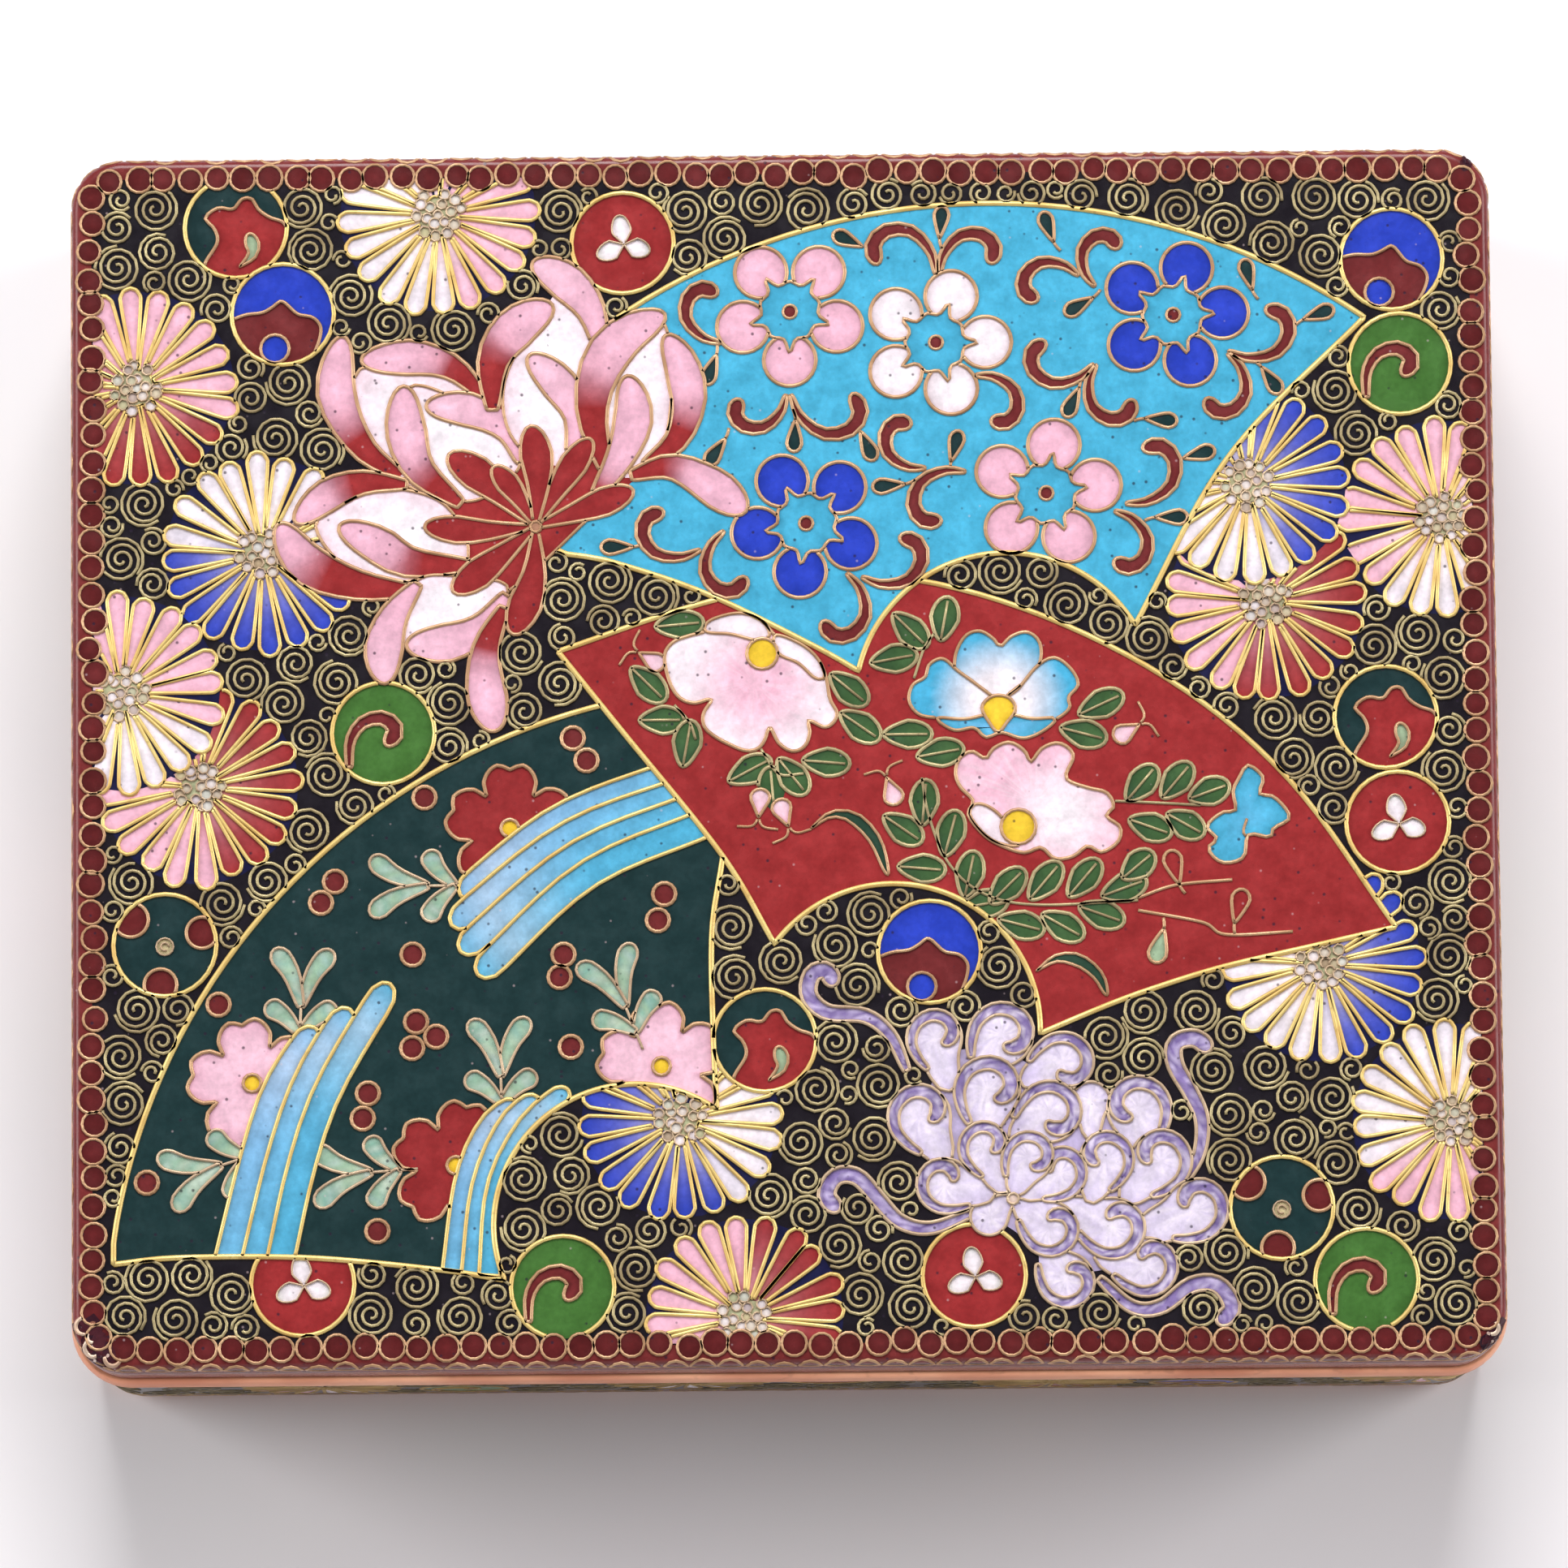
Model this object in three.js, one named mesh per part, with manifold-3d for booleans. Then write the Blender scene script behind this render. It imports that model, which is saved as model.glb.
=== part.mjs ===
// A rectangular cloisonne enamel box with a lift-off lid.
// Millimetres, +Z up, +X to the right, +Y to the back. The origin is on the table, under the middle of the box.
//
// Four pieces, from the table up: the enamelled box with its foot ring, the box's rim band with the
// collar that the lid drops over, the lid's own rim band, and the enamelled lid. Both box and lid are hollow.

import * as THREE from "three";
import { mergeVertices } from "three/addons/utils/BufferGeometryUtils.js";
import Module from "manifold-3d";

const wasm = await Module();
wasm.setup();

// ---- Driving dimensions ----

const width = 114; // along X, over the enamel
const depth = 97.5; // along Y, over the enamel
const cornerRadius = 4.2; // of the box in plan
const shoulderRadius = 0.7; // the lid's top edge and the box's bottom edge
const wall = 2.2; // copper sheet with enamel on both faces
const insideRadius = 1.2; // where a wall turns into the floor or the ceiling

const boxHeight = 21; // the enamelled box, from the table to its mouth
const rimHeight = 1.8; // of each of the two bands that meet at the mouth
const lidHeight = 8.4; // the enamelled lid above its band

const bandLip = 0.5; // how far the bands stand out past the enamel
const bandRound = 0.4; // rounding of their edges
const footHeight = 1.6;
const footInset = 0.4; // how far the foot ring stands in from the enamel
const footWidth = 3; // the foot ring, from its outer to its inner face
const footRecess = 0.8; // how far the floor is raised inside the foot ring
const collarGap = 0.3; // between the collar and the lid's inner face
const collarWall = 1;
const collarRise = 3.6; // how far the collar stands up past the box's band

const cornerSteps = 8; // facets in a quarter turn of the plan
const roundSteps = 3; // facets in a rounded edge

// ---- Heights, from the table up ----

const joint = boxHeight + rimHeight; // where the lid's band rests on the box's band
const lidFoot = joint + rimHeight;
const lidTop = lidFoot + lidHeight;

// ---- Shapes ----

// The box's plan, drawn in by `inset` on every side: a rectangle with round corners.
function plan(inset, Path = THREE.Shape) {
  const x = width / 2 - inset;
  const y = depth / 2 - inset;
  const r = cornerRadius - inset;
  const path = new Path();
  path.moveTo(x, y - r);
  path.absarc(x - r, y - r, r, 0, Math.PI / 2, false);
  path.absarc(r - x, y - r, r, Math.PI / 2, Math.PI, false);
  path.absarc(r - x, r - y, r, Math.PI, 1.5 * Math.PI, false);
  path.absarc(x - r, r - y, r, 1.5 * Math.PI, 2 * Math.PI, false);
  return path;
}

// A shape carried from height `low` to `high`, with its edges rounded by `round`.
function raised(shape, low, high, round) {
  return new THREE.ExtrudeGeometry(shape, {
    depth: high - low - 2 * round,
    curveSegments: cornerSteps,
    bevelEnabled: round > 0,
    bevelThickness: round,
    bevelSize: round,
    bevelOffset: -round,
    bevelSegments: roundSteps,
  }).translate(0, 0, low + round);
}

// The whole plan as a block.
function block(inset, low, high, round) {
  return raised(plan(inset), low, high, round);
}

// A band that follows the plan between two insets.
function band(outer, inner, low, high, round) {
  const shape = plan(outer);
  shape.holes.push(plan(inner, THREE.Path));
  return raised(shape, low, high, round);
}

// ---- Joining and cutting ----

function solid(geometry) {
  const bare = geometry.clone();
  bare.deleteAttribute("normal");
  bare.deleteAttribute("uv");
  const merged = mergeVertices(bare, 1e-4);
  return new wasm.Manifold(
    new wasm.Mesh({
      numProp: 3,
      vertProperties: merged.attributes.position.array,
      triVerts: new Uint32Array(merged.index.array),
    }),
  );
}

function geometryOf(made) {
  const mesh = made.getMesh();
  return new THREE.BufferGeometry()
    .setAttribute("position", new THREE.BufferAttribute(mesh.vertProperties, 3))
    .setIndex(new THREE.BufferAttribute(mesh.triVerts, 1));
}

// A wall-thick tray with its mouth up, or a lid with its mouth down. Its closed end has rounded edges,
// and its open end is cut off flat.
function hollow(low, high, mouthUp) {
  const spare = 2 * wall; // past the mouth, where the blocks' other rounded edges are cut away
  const outerLow = mouthUp ? low : low - spare;
  const outerHigh = mouthUp ? high + spare : high;
  const innerLow = mouthUp ? low + wall : low - 2 * spare;
  const innerHigh = mouthUp ? high + 2 * spare : high - wall;
  const beyond = new THREE.BoxGeometry(2 * width, 2 * depth, 2 * spare);
  beyond.translate(0, 0, mouthUp ? high + spare : low - spare);
  return solid(block(0, outerLow, outerHigh, shoulderRadius))
    .subtract(solid(block(wall, innerLow, innerHigh, insideRadius)))
    .subtract(solid(beyond));
}

// ---- Pieces ----

const enamel = new THREE.MeshStandardMaterial({
  color: 0x2a2630,
  roughness: 0.22,
  metalness: 0,
});
const copper = new THREE.MeshStandardMaterial({
  color: 0xc9825c,
  roughness: 0.35,
  metalness: 1,
});

// The foot ring is formed in the box's copper, so it is one piece with it.
function box() {
  const footRing = band(footInset, footInset + footWidth, 0, footHeight, bandRound);
  return geometryOf(hollow(footRecess, boxHeight, true).add(solid(footRing)));
}

function boxRim() {
  const collarOuter = wall + collarGap;
  const collarInner = collarOuter + collarWall;
  const collarFoot = boxHeight + bandRound;
  const lip = band(-bandLip, collarInner, boxHeight, joint, bandRound);
  const collar = band(collarOuter, collarInner, collarFoot, joint + collarRise, 0);
  return geometryOf(solid(lip).add(solid(collar)));
}

function lidRim() {
  return band(-bandLip, wall, joint, lidFoot, bandRound);
}

function lid() {
  return geometryOf(hollow(lidFoot, lidTop, false));
}

const pieces = [
  ["box", box(), enamel],
  ["box_rim", boxRim(), copper],
  ["lid_rim", lidRim(), copper],
  ["lid", lid(), enamel],
];

const cloisonneBox = new THREE.Group();
for (const [name, geometry, material] of pieces) {
  const mesh = new THREE.Mesh(geometry, material);
  mesh.name = name;
  cloisonneBox.add(mesh);
}

export default cloisonneBox;
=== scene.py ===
"""Cloisonne enamel box with a lift-off lid: enamel laid in cells between thin gold wires."""

import math

import bpy
import numpy as np
from mathutils import Matrix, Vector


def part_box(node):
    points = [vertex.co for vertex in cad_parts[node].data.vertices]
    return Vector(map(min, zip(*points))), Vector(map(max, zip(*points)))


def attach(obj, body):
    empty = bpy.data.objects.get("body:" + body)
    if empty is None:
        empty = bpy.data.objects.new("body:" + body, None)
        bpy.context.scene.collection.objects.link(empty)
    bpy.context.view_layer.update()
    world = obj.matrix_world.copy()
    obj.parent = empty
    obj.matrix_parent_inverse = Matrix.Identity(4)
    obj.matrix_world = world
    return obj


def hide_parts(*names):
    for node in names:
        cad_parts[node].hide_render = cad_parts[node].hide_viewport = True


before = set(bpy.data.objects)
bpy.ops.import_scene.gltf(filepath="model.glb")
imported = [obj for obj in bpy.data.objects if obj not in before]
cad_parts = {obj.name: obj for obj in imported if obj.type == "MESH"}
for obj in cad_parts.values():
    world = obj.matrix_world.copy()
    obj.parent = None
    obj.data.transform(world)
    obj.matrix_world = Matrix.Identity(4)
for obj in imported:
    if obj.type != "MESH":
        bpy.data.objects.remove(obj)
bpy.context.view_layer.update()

# ---------------------------------------------------------------- sizes, all in millimetres
MM = 0.001
lid_low, lid_high = [np.array(c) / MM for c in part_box("lid")]
cap_low, cap_high = [np.array(c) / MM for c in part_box("lid_rim")]
box_high = np.array(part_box("box")[1]) / MM
rim_high = np.array(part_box("box_rim")[1]) / MM
HALF_LENGTH = lid_high[0]
HALF_DEPTH = lid_high[1]
TOP = lid_high[2]
CORNER = 4.2  # radius of the upright corners
CORE = 4.15  # inset of the flat faces that close a shell, just short of the corners' centres
SHOULDER = 0.7  # radius of the lid's upper edge
WALL = 2.2
LID_CEILING = TOP - WALL
BOX_FLOOR = 3.0
FILLET = 1.2  # radius inside, where the walls meet the floor and the ceiling
RELIEF = 0.2  # how far the wires stand over the lid's ground
FLUSH = 0.06  # the same on the walls
SUNK = -0.04  # height of the lower edges of cells and wires, just under the ground
STEP = 0.010  # how far a cell lies over the one beneath it
HIGHEST = 0.15  # how far the uppermost cell may lie over the ground
RING_LINE = 1.8  # inset of the middle of the lid's row of rings
RING_PITCH, WALL_RING_PITCH = 2.13, 2.17  # from one ring to the next
RING_WIRE = 0.27
PICTURE_INSET = 1.9  # where the drawing ends, under the rings
SEAM = 0.02  # half the width in which one ground colour turns into the next
FIELD = 3.65, 18.95  # heights between which the wall's ground is dark
EASE = 30.3, 30.7  # heights between which the lid's wall comes out to its band
FOOT_LINE = 1.5  # where the wall turns in behind the foot ring
FOOT_TOP = 1.6
UNDERSIDE = 0.8  # how far the bottom stands over the table
EDGE = 0.4  # radius of the copper bands' outer edges
COLLAR = 2.5, 3.5  # insets of the two faces of the collar that stands up inside the lid
PLAIN = (1, 1, 1)  # for pieces whose metal brings the whole colour
seeded = np.random.default_rng(11)


# ---------------------------------------------------------------- colours
def paint(red, green, blue):
    """A colour given as it is seen, turned into light amounts."""
    c = np.array([red, green, blue]) / 255
    return np.where(c < 0.04045, c / 12.92, ((c + 0.055) / 1.055) ** 2.4)


OXBLOOD = paint(122, 46, 46)
RING_RED = paint(104, 34, 36)
BLACK = paint(27, 22, 30)
TURQUOISE = paint(74, 176, 214)
COBALT = paint(42, 66, 192)
SKY = paint(120, 190, 235)
RED = paint(158, 46, 48)
FOREST = paint(28, 54, 56)
LEAF = paint(70, 104, 62)
GRASS = paint(70, 116, 52)
MAROON = paint(116, 42, 44)
PINK = paint(243, 186, 208)
PALE_PINK = paint(248, 214, 226)
WHITE = paint(250, 240, 247)
YELLOW = paint(250, 208, 60)
LILAC = paint(220, 206, 240)
PURPLE = paint(138, 118, 176)
DUSK = paint(84, 66, 122)
SAGE = paint(166, 192, 158)
TEAL = paint(90, 160, 160)
STREAM = paint(160, 190, 236)
IVORY = paint(206, 192, 150)
LINING = paint(64, 118, 128)


def mix(a, b, amount):
    """Colour a turned into b by an amount from 0 to 1, which may be an array."""
    amount = np.asarray(amount, float)[..., None]
    return np.asarray(a) * (1 - amount) + np.asarray(b) * amount


# ---------------------------------------------------------------- paths
def resample(path, count, closed=False):
    """Points at even distances along a path."""
    path = np.asarray(path, float)
    if closed:
        path = np.vstack([path, path[:1]])
    far = np.concatenate([[0], np.cumsum(np.linalg.norm(np.diff(path, axis=0), axis=1))])
    where = np.linspace(0, far[-1], count + 1)[:-1] if closed else np.linspace(0, far[-1], count)
    return np.column_stack([np.interp(where, far, path[:, k]) for k in range(path.shape[1])])


def smooth(points, count=None, closed=False):
    """A Catmull-Rom curve through the points, resampled evenly."""
    p = np.asarray(points, float)
    if closed:
        p = np.vstack([p[-1:], p, p[:2]])
    else:
        p = np.vstack([2 * p[0] - p[1], p, 2 * p[-1] - p[-2]])
    t = np.linspace(0, 1, 12, endpoint=False)[None, :, None]
    a, b, c, d = [p[k : len(p) - 3 + k, None, :] for k in range(4)]
    curve = 0.5 * (2 * b + (c - a) * t + (2 * a - 5 * b + 4 * c - d) * t**2 + (3 * b - a - 3 * c + d) * t**3)
    curve = curve.reshape(-1, p.shape[1])
    if not closed:
        curve = np.vstack([curve, p[-2]])
    if count is None:
        steps = np.linalg.norm(np.diff(curve, axis=0), axis=1).sum()
        count = max(4, int(steps / 0.3) + 1)
    return resample(curve, count, closed)


def arc(centre, radius, start, end, count):
    """Points on a circle from one angle to another, in degrees."""
    a = np.radians(np.linspace(start, end, count))
    return np.column_stack([centre[0] + radius * np.cos(a), centre[1] + radius * np.sin(a)])


def circle(centre, radius, count=20):
    """A closed circle, the last point left out."""
    return arc(centre, radius, 0, 360, count + 1)[:-1]


def across(path, closed=False):
    """The left-hand direction at each point of a path."""
    if closed:
        ahead = np.roll(path, -1, axis=0) - np.roll(path, 1, axis=0)
    else:
        ahead = np.gradient(path, axis=0)
    length = np.maximum(np.linalg.norm(ahead, axis=1, keepdims=True), 1e-9)
    ahead = ahead / length
    return np.column_stack([-ahead[:, 1], ahead[:, 0]])


def inside(points, outline):
    """True for the points that lie inside a closed outline, by counting crossings."""
    shape = points.shape[:-1]
    p = points.reshape(-1, 2)
    low, high = outline.min(0), outline.max(0)
    found = np.zeros(len(p), bool)
    near = np.where(((p >= low) & (p <= high)).all(1))[0]
    if len(near) == 0:
        return found.reshape(shape)
    a, b = outline, np.roll(outline, -1, axis=0)
    x, y = p[near, 0][:, None], p[near, 1][:, None]
    rise = b[:, 1] - a[:, 1]
    rise = np.where(rise == 0, 1e-12, rise)
    crosses = (a[:, 1] > y) != (b[:, 1] > y)
    left = x < a[:, 0] + (y - a[:, 1]) / rise * (b[:, 0] - a[:, 0])
    found[near] = (crosses & left).sum(1) % 2 == 1
    return found.reshape(shape)


def nearest_on(points, outline):
    """For each point, the nearest point of a closed outline."""
    a, b = outline, np.roll(outline, -1, axis=0)
    along = b - a
    size = np.maximum((along**2).sum(1), 1e-12)
    t = np.clip(((points[:, None, :] - a) * along).sum(2) / size, 0, 1)
    spots = a + t[..., None] * along
    best = ((spots - points[:, None, :]) ** 2).sum(2).argmin(1)
    return spots[np.arange(len(points)), best]


# ---------------------------------------------------------------- the box's plan
QUARTER = math.pi / 2 * CORNER
RUNS = [2 * (HALF_LENGTH - CORNER), QUARTER, 2 * (HALF_DEPTH - CORNER), QUARTER] * 2
STARTS = np.concatenate([[0], np.cumsum(RUNS)])
GIRTH = STARTS[-1]


def plan(distance):
    """Point and outward direction at a distance round the rounded rectangle, from the front left."""
    s = np.mod(np.asarray(distance, float), GIRTH)
    run = np.clip(np.searchsorted(STARTS, s, side="right") - 1, 0, 7)
    gone = s - STARTS[run]
    bent = run % 2 == 1
    angle = np.radians(-90 + 90 * (run // 2)) + np.where(bent, gone / CORNER, 0)
    sides = np.array([[-1, -1], [1, -1], [1, 1], [-1, 1]]) * [HALF_LENGTH - CORNER, HALF_DEPTH - CORNER]
    pivot = sides[np.where(bent, (run // 2 + 1) % 4, run // 2)]
    out = np.stack([np.cos(angle), np.sin(angle)], -1)
    ahead = np.stack([-np.sin(angle), np.cos(angle)], -1)
    return pivot + CORNER * out + ahead * np.where(bent, 0, gone)[..., None], out


def stations():
    """Distances round the plan where a swept wall has its points."""
    corner = np.arange(10) / 10
    spots = []
    for k in range(4):
        spots += [STARTS[2 * k] + RUNS[2 * k] * f for f in (0, 0.5)]
        spots += [STARTS[2 * k + 1] + RUNS[2 * k + 1] * f for f in corner]
    return np.array(spots)


def flat_top(p, height):
    """A skin that lays points on the lid's flat top, raised by a height."""
    p = np.asarray(p, float)
    height = np.broadcast_to(height, p.shape[:-1])
    return np.concatenate([p, (TOP - RELIEF + height)[..., None]], -1)


SHIFT = (0.11, -0.5)  # from the drawing to the lid
LEAN = 0.0087  # to the right, for each millimetre up
DROOP = 0.0011  # downwards, for each millimetre to the right
SQUEEZE = 0.9962  # depth on the lid, for each millimetre drawn


def settle(p):
    """Where the drawing's points lie on the lid: it leans a hair to the right and sits a little low."""
    x, y = p[..., 0], p[..., 1]
    return np.stack([SHIFT[0] + x + LEAN * y, SHIFT[1] - DROOP * x + SQUEEZE * y], -1)


def picture_top(p, height):
    """A skin that lays the drawing on the lid."""
    return flat_top(settle(np.asarray(p, float)), height)


def round_wall(top, shoulder, relief):
    """A skin for a wall: its points are the distance round the plan and the distance up, which is 0 where
    the shoulder starts. Down the shoulder a point goes round a quarter circle, and below it straight down."""

    def skin(p, height):
        p = np.asarray(p, float)
        height = height * (relief / RELIEF)
        down = -p[..., 1]
        turn = np.clip(down / max(shoulder, 1e-6), 0, math.pi / 2)
        straight = np.maximum(down - shoulder * math.pi / 2, 0)
        flat = np.minimum(down, 0)
        inset = relief + shoulder - shoulder * np.sin(turn) - flat - height * np.sin(turn)
        rise = top - RELIEF - shoulder + (shoulder + height) * np.cos(turn) - straight
        spot, out = plan(p[..., 0])
        return np.concatenate([spot - out * inset[..., None], rise[..., None]], -1)

    return skin


lid_wall = round_wall(TOP, SHOULDER, RELIEF)
box_wall = round_wall(box_high[2] + RELIEF, 0.0, FLUSH)


# ---------------------------------------------------------------- pieces
class Piece:
    """Gathers patches of points, each a grid of rows and columns, into one mesh."""

    def __init__(self):
        self.points, self.faces, self.colours, self.patch_of, self.caps = [], [], [], [], []
        self.count = 0

    def patch(self, grid, colour=PLAIN, ring=False):
        """Adds a grid of points; ring closes its columns on themselves."""
        rows, cols = grid.shape[:2]
        index = np.arange(rows * cols).reshape(rows, cols) + self.count
        if ring:
            index = np.concatenate([index, index[:, :1]], 1)
        quads = np.stack([index[:-1, :-1], index[1:, :-1], index[1:, 1:], index[:-1, 1:]], -1)
        self.faces.append(quads.reshape(-1, 4))
        self.points.append(grid.reshape(-1, 3))
        colour = np.broadcast_to(colour, grid.shape[:2] + (3,))
        self.colours.append(colour.reshape(-1, 3))
        self.patch_of.append(np.full(rows * cols, len(self.patch_of)))
        self.count += rows * cols

    def cap(self, loop, colour):
        """Adds one flat face with many corners."""
        self.points.append(loop)
        self.colours.append(np.broadcast_to(colour, loop.shape))
        self.patch_of.append(np.full(len(loop), -1))
        self.caps.append(np.arange(len(loop)) + self.count)
        self.count += len(loop)

    def make(self, name, material, slot=None, join=False, flat=False):
        """Turns the gathered patches into an object. Points that coincide within a patch become one, and with
        join those of different patches too; faces that have shrunk to a line are left out."""
        points = np.concatenate(self.points)
        colours = np.concatenate(self.colours)
        patches = np.concatenate(self.patch_of) * (not join)
        fine = 2000  # steps in a millimetre
        deep, tall = 400000, 100000  # more steps than any piece has along y and z
        whole = np.round(points * fine).astype(np.int64)
        whole -= whole.min(0)
        key = (whole[:, 0] * deep + whole[:, 1]) * tall + whole[:, 2]
        _, spot = np.unique(key, return_inverse=True)
        own = spot.astype(np.int64) * (patches.max() + 2) + patches + 1
        _, first, back = np.unique(own, return_index=True, return_inverse=True)
        quads = back[np.concatenate(self.faces)]
        same = quads == np.roll(quads, -1, axis=1)
        corners = 4 - same.sum(1)
        full = quads[corners == 4]
        full = full[(full[:, 0] != full[:, 2]) & (full[:, 1] != full[:, 3])]
        tris = quads[corners == 3][~same[corners == 3]].reshape(-1, 3)
        caps = [back[c] for c in self.caps]
        loops = np.concatenate([full.ravel(), tris.ravel()] + caps)
        totals = np.concatenate([np.full(len(full), 4), np.full(len(tris), 3), [len(c) for c in caps]])
        starts = np.concatenate([[0], np.cumsum(totals)[:-1]])
        mesh = bpy.data.meshes.new(name)
        mesh.vertices.add(len(first))
        mesh.vertices.foreach_set("co", (points[first] * MM).astype(np.float32).ravel())
        mesh.loops.add(len(loops))
        mesh.loops.foreach_set("vertex_index", loops.astype(np.int32))
        mesh.polygons.add(len(totals))
        mesh.polygons.foreach_set("loop_start", starts.astype(np.int32))
        mesh.update(calc_edges=True)
        mesh.validate()
        glaze = mesh.color_attributes.new("glaze", "FLOAT_COLOR", "POINT")
        rgba = np.column_stack([colours[first], np.ones(len(first))])
        glaze.data.foreach_set("color", rgba.astype(np.float32).ravel())
        if flat:
            mesh.shade_flat()
        else:
            mesh.shade_smooth()
        mesh.materials.append(material)
        thing = bpy.data.objects.new(name, mesh)
        bpy.context.scene.collection.objects.link(thing)
        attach(thing, "root")
        return thing


def lay_wire(piece, path, width, skin, closed=False, top=RELIEF):
    """A flat wire on edge: a four-sided section, wider at its foot, carried along a path."""
    side = across(path, closed)
    spread = np.array([-0.5, -0.36, 0.36, 0.5]) * width
    height = np.array([SUNK, top, top, SUNK])
    flat = path[:, None, :] + side[:, None, :] * spread[None, :, None]
    solid = skin(flat, np.broadcast_to(height, flat.shape[:2]))
    if closed:
        solid = np.concatenate([solid, solid[:1]])
    else:
        first, last = [end.mean(1, keepdims=True).repeat(4, 1) for end in (solid[:1], solid[-1:])]
        solid = np.concatenate([first, solid, last])
    piece.patch(solid, ring=True)


# ---------------------------------------------------------------- cells of enamel
class Cell:
    """One cell: a grid of points, with u from root to tip or centre to edge, and v across it."""

    def __init__(self, grid, u, v, ring=False):
        self.grid, self.u, self.v, self.ring = grid, u, v, ring

    @property
    def outline(self):
        """The closed line round the cell."""
        g = self.grid
        line = g[-1] if self.ring else np.concatenate([g[0, :-1], g[:-1, -1], g[-1, :0:-1], g[:0:-1, 0]])
        apart = np.linalg.norm(line - np.roll(line, 1, axis=0), axis=1) > 0.02
        return line[apart] if apart.sum() > 3 else line


def blade(spine, width, peak=0.75, root=0.0, rows=10, power=1.0, cols=3):
    """A long cell along a spine: its half width grows by a power of the way from the root to the peak, and
    from there it closes in a quarter ellipse."""
    line = smooth(spine, 40)
    u = (1 - np.cos(np.linspace(0, math.pi, rows))) / 2
    spot = np.column_stack([np.interp(u, np.linspace(0, 1, 40), line[:, k]) for k in (0, 1)])
    side = across(line)
    side = np.column_stack([np.interp(u, np.linspace(0, 1, 40), side[:, k]) for k in (0, 1)])
    grow = root + (1 - root) * (np.minimum(u, peak) / peak) ** power
    close = np.sqrt(np.maximum(1 - (np.maximum(u - peak, 0) / (1 - peak)) ** 2, 0))
    half = width * np.where(u < peak, grow, close)
    v = np.linspace(-1, 1, cols)
    grid = spot[:, None, :] + side[:, None, :] * (half[:, None] * v)[..., None]
    return Cell(grid, np.broadcast_to(u[:, None], grid.shape[:2]), np.broadcast_to(v, grid.shape[:2]))


def round_cell(centre, radius, sides=20, rings=3, shape=None, turn=0.0):
    """A cell round a centre, its rows going out and its columns round; shape gives the edge by angle."""
    a = np.linspace(0, 2 * math.pi, sides, endpoint=False)
    edge = radius * (shape(a) if shape else np.ones(sides))
    u = np.linspace(0, 1, rings)
    x, y = edge * np.cos(a), edge * np.sin(a)
    t = math.radians(turn)
    flat = np.stack([x * math.cos(t) - y * math.sin(t), x * math.sin(t) + y * math.cos(t)], -1)
    grid = np.asarray(centre, float) + u[:, None, None] * flat
    return Cell(grid, np.broadcast_to(u[:, None], grid.shape[:2]), np.broadcast_to(a, grid.shape[:2]), True)


def web(outline, centre=None, rings=3):
    """A cell filled from a centre out to any star-shaped outline."""
    outline = np.asarray(outline, float)
    x, y = outline[:, 0], outline[:, 1]
    if (x * np.roll(y, -1) - np.roll(x, -1) * y).sum() < 0:
        outline = outline[::-1]
    centre = outline.mean(0) if centre is None else np.asarray(centre, float)
    u = np.linspace(0, 1, rings)
    grid = centre + u[:, None, None] * (outline - centre)
    v = np.zeros(grid.shape[:2])
    return Cell(grid, np.broadcast_to(u[:, None], grid.shape[:2]), v, True)


def blob(points, count, centre=None, rings=3):
    """A cell inside a smooth closed line through a few points."""
    return web(smooth(points, count, closed=True), centre, rings)


def leaf_of_paper(inner, outer, left, right):
    """A fan's leaf: a surface blended between its four edges, the two arcs and the two outer ribs. It is the
    sum of the blends between opposite edges, less the blend of its corners; u goes out and v across."""
    rows, cols = 26, 44
    i, o = resample(inner, cols), resample(outer, cols)
    a, b = resample(left, rows), resample(right, rows)
    across_it = np.linspace(0, 1, cols)[None, :, None]
    out = np.linspace(0, 1, rows)[:, None, None]
    grid = (1 - out) * i[None] + out * o[None] + (1 - across_it) * a[:, None] + across_it * b[:, None]
    grid -= (1 - across_it) * (1 - out) * i[0] + across_it * (1 - out) * i[-1]
    grid -= (1 - across_it) * out * o[0] + across_it * out * o[-1]
    shape = grid.shape[:2]
    return Cell(grid, np.broadcast_to(out[..., 0], shape), np.broadcast_to(across_it[..., 0] * 2 - 1, shape))


def toned(cell, *stops, edge=0.8):
    """Colours along u between stops of (place, colour), with painted shade that darkens them towards the
    wires; edge is the share of the colour left at the wire.
    """
    places = [s[0] for s in stops]
    tones = np.array([s[1] for s in stops])
    colour = np.stack([np.interp(cell.u, places, tones[:, k]) for k in range(3)], -1)
    # painted shade: the colour falls off towards the cell's edge, by u round a centre and by v across a blade
    rim = cell.u**6 if cell.ring else np.abs(cell.v) ** 4
    return colour * (1 - (1 - edge) * rim)[..., None]


def mottled(tone, *others):
    """Colours turned by uneven amounts, point by point, towards other colours; others are (colour, most)."""
    for other, most in others:
        tone = mix(tone, other, most * seeded.random(tone.shape[:2]) ** 2)
    return tone


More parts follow.
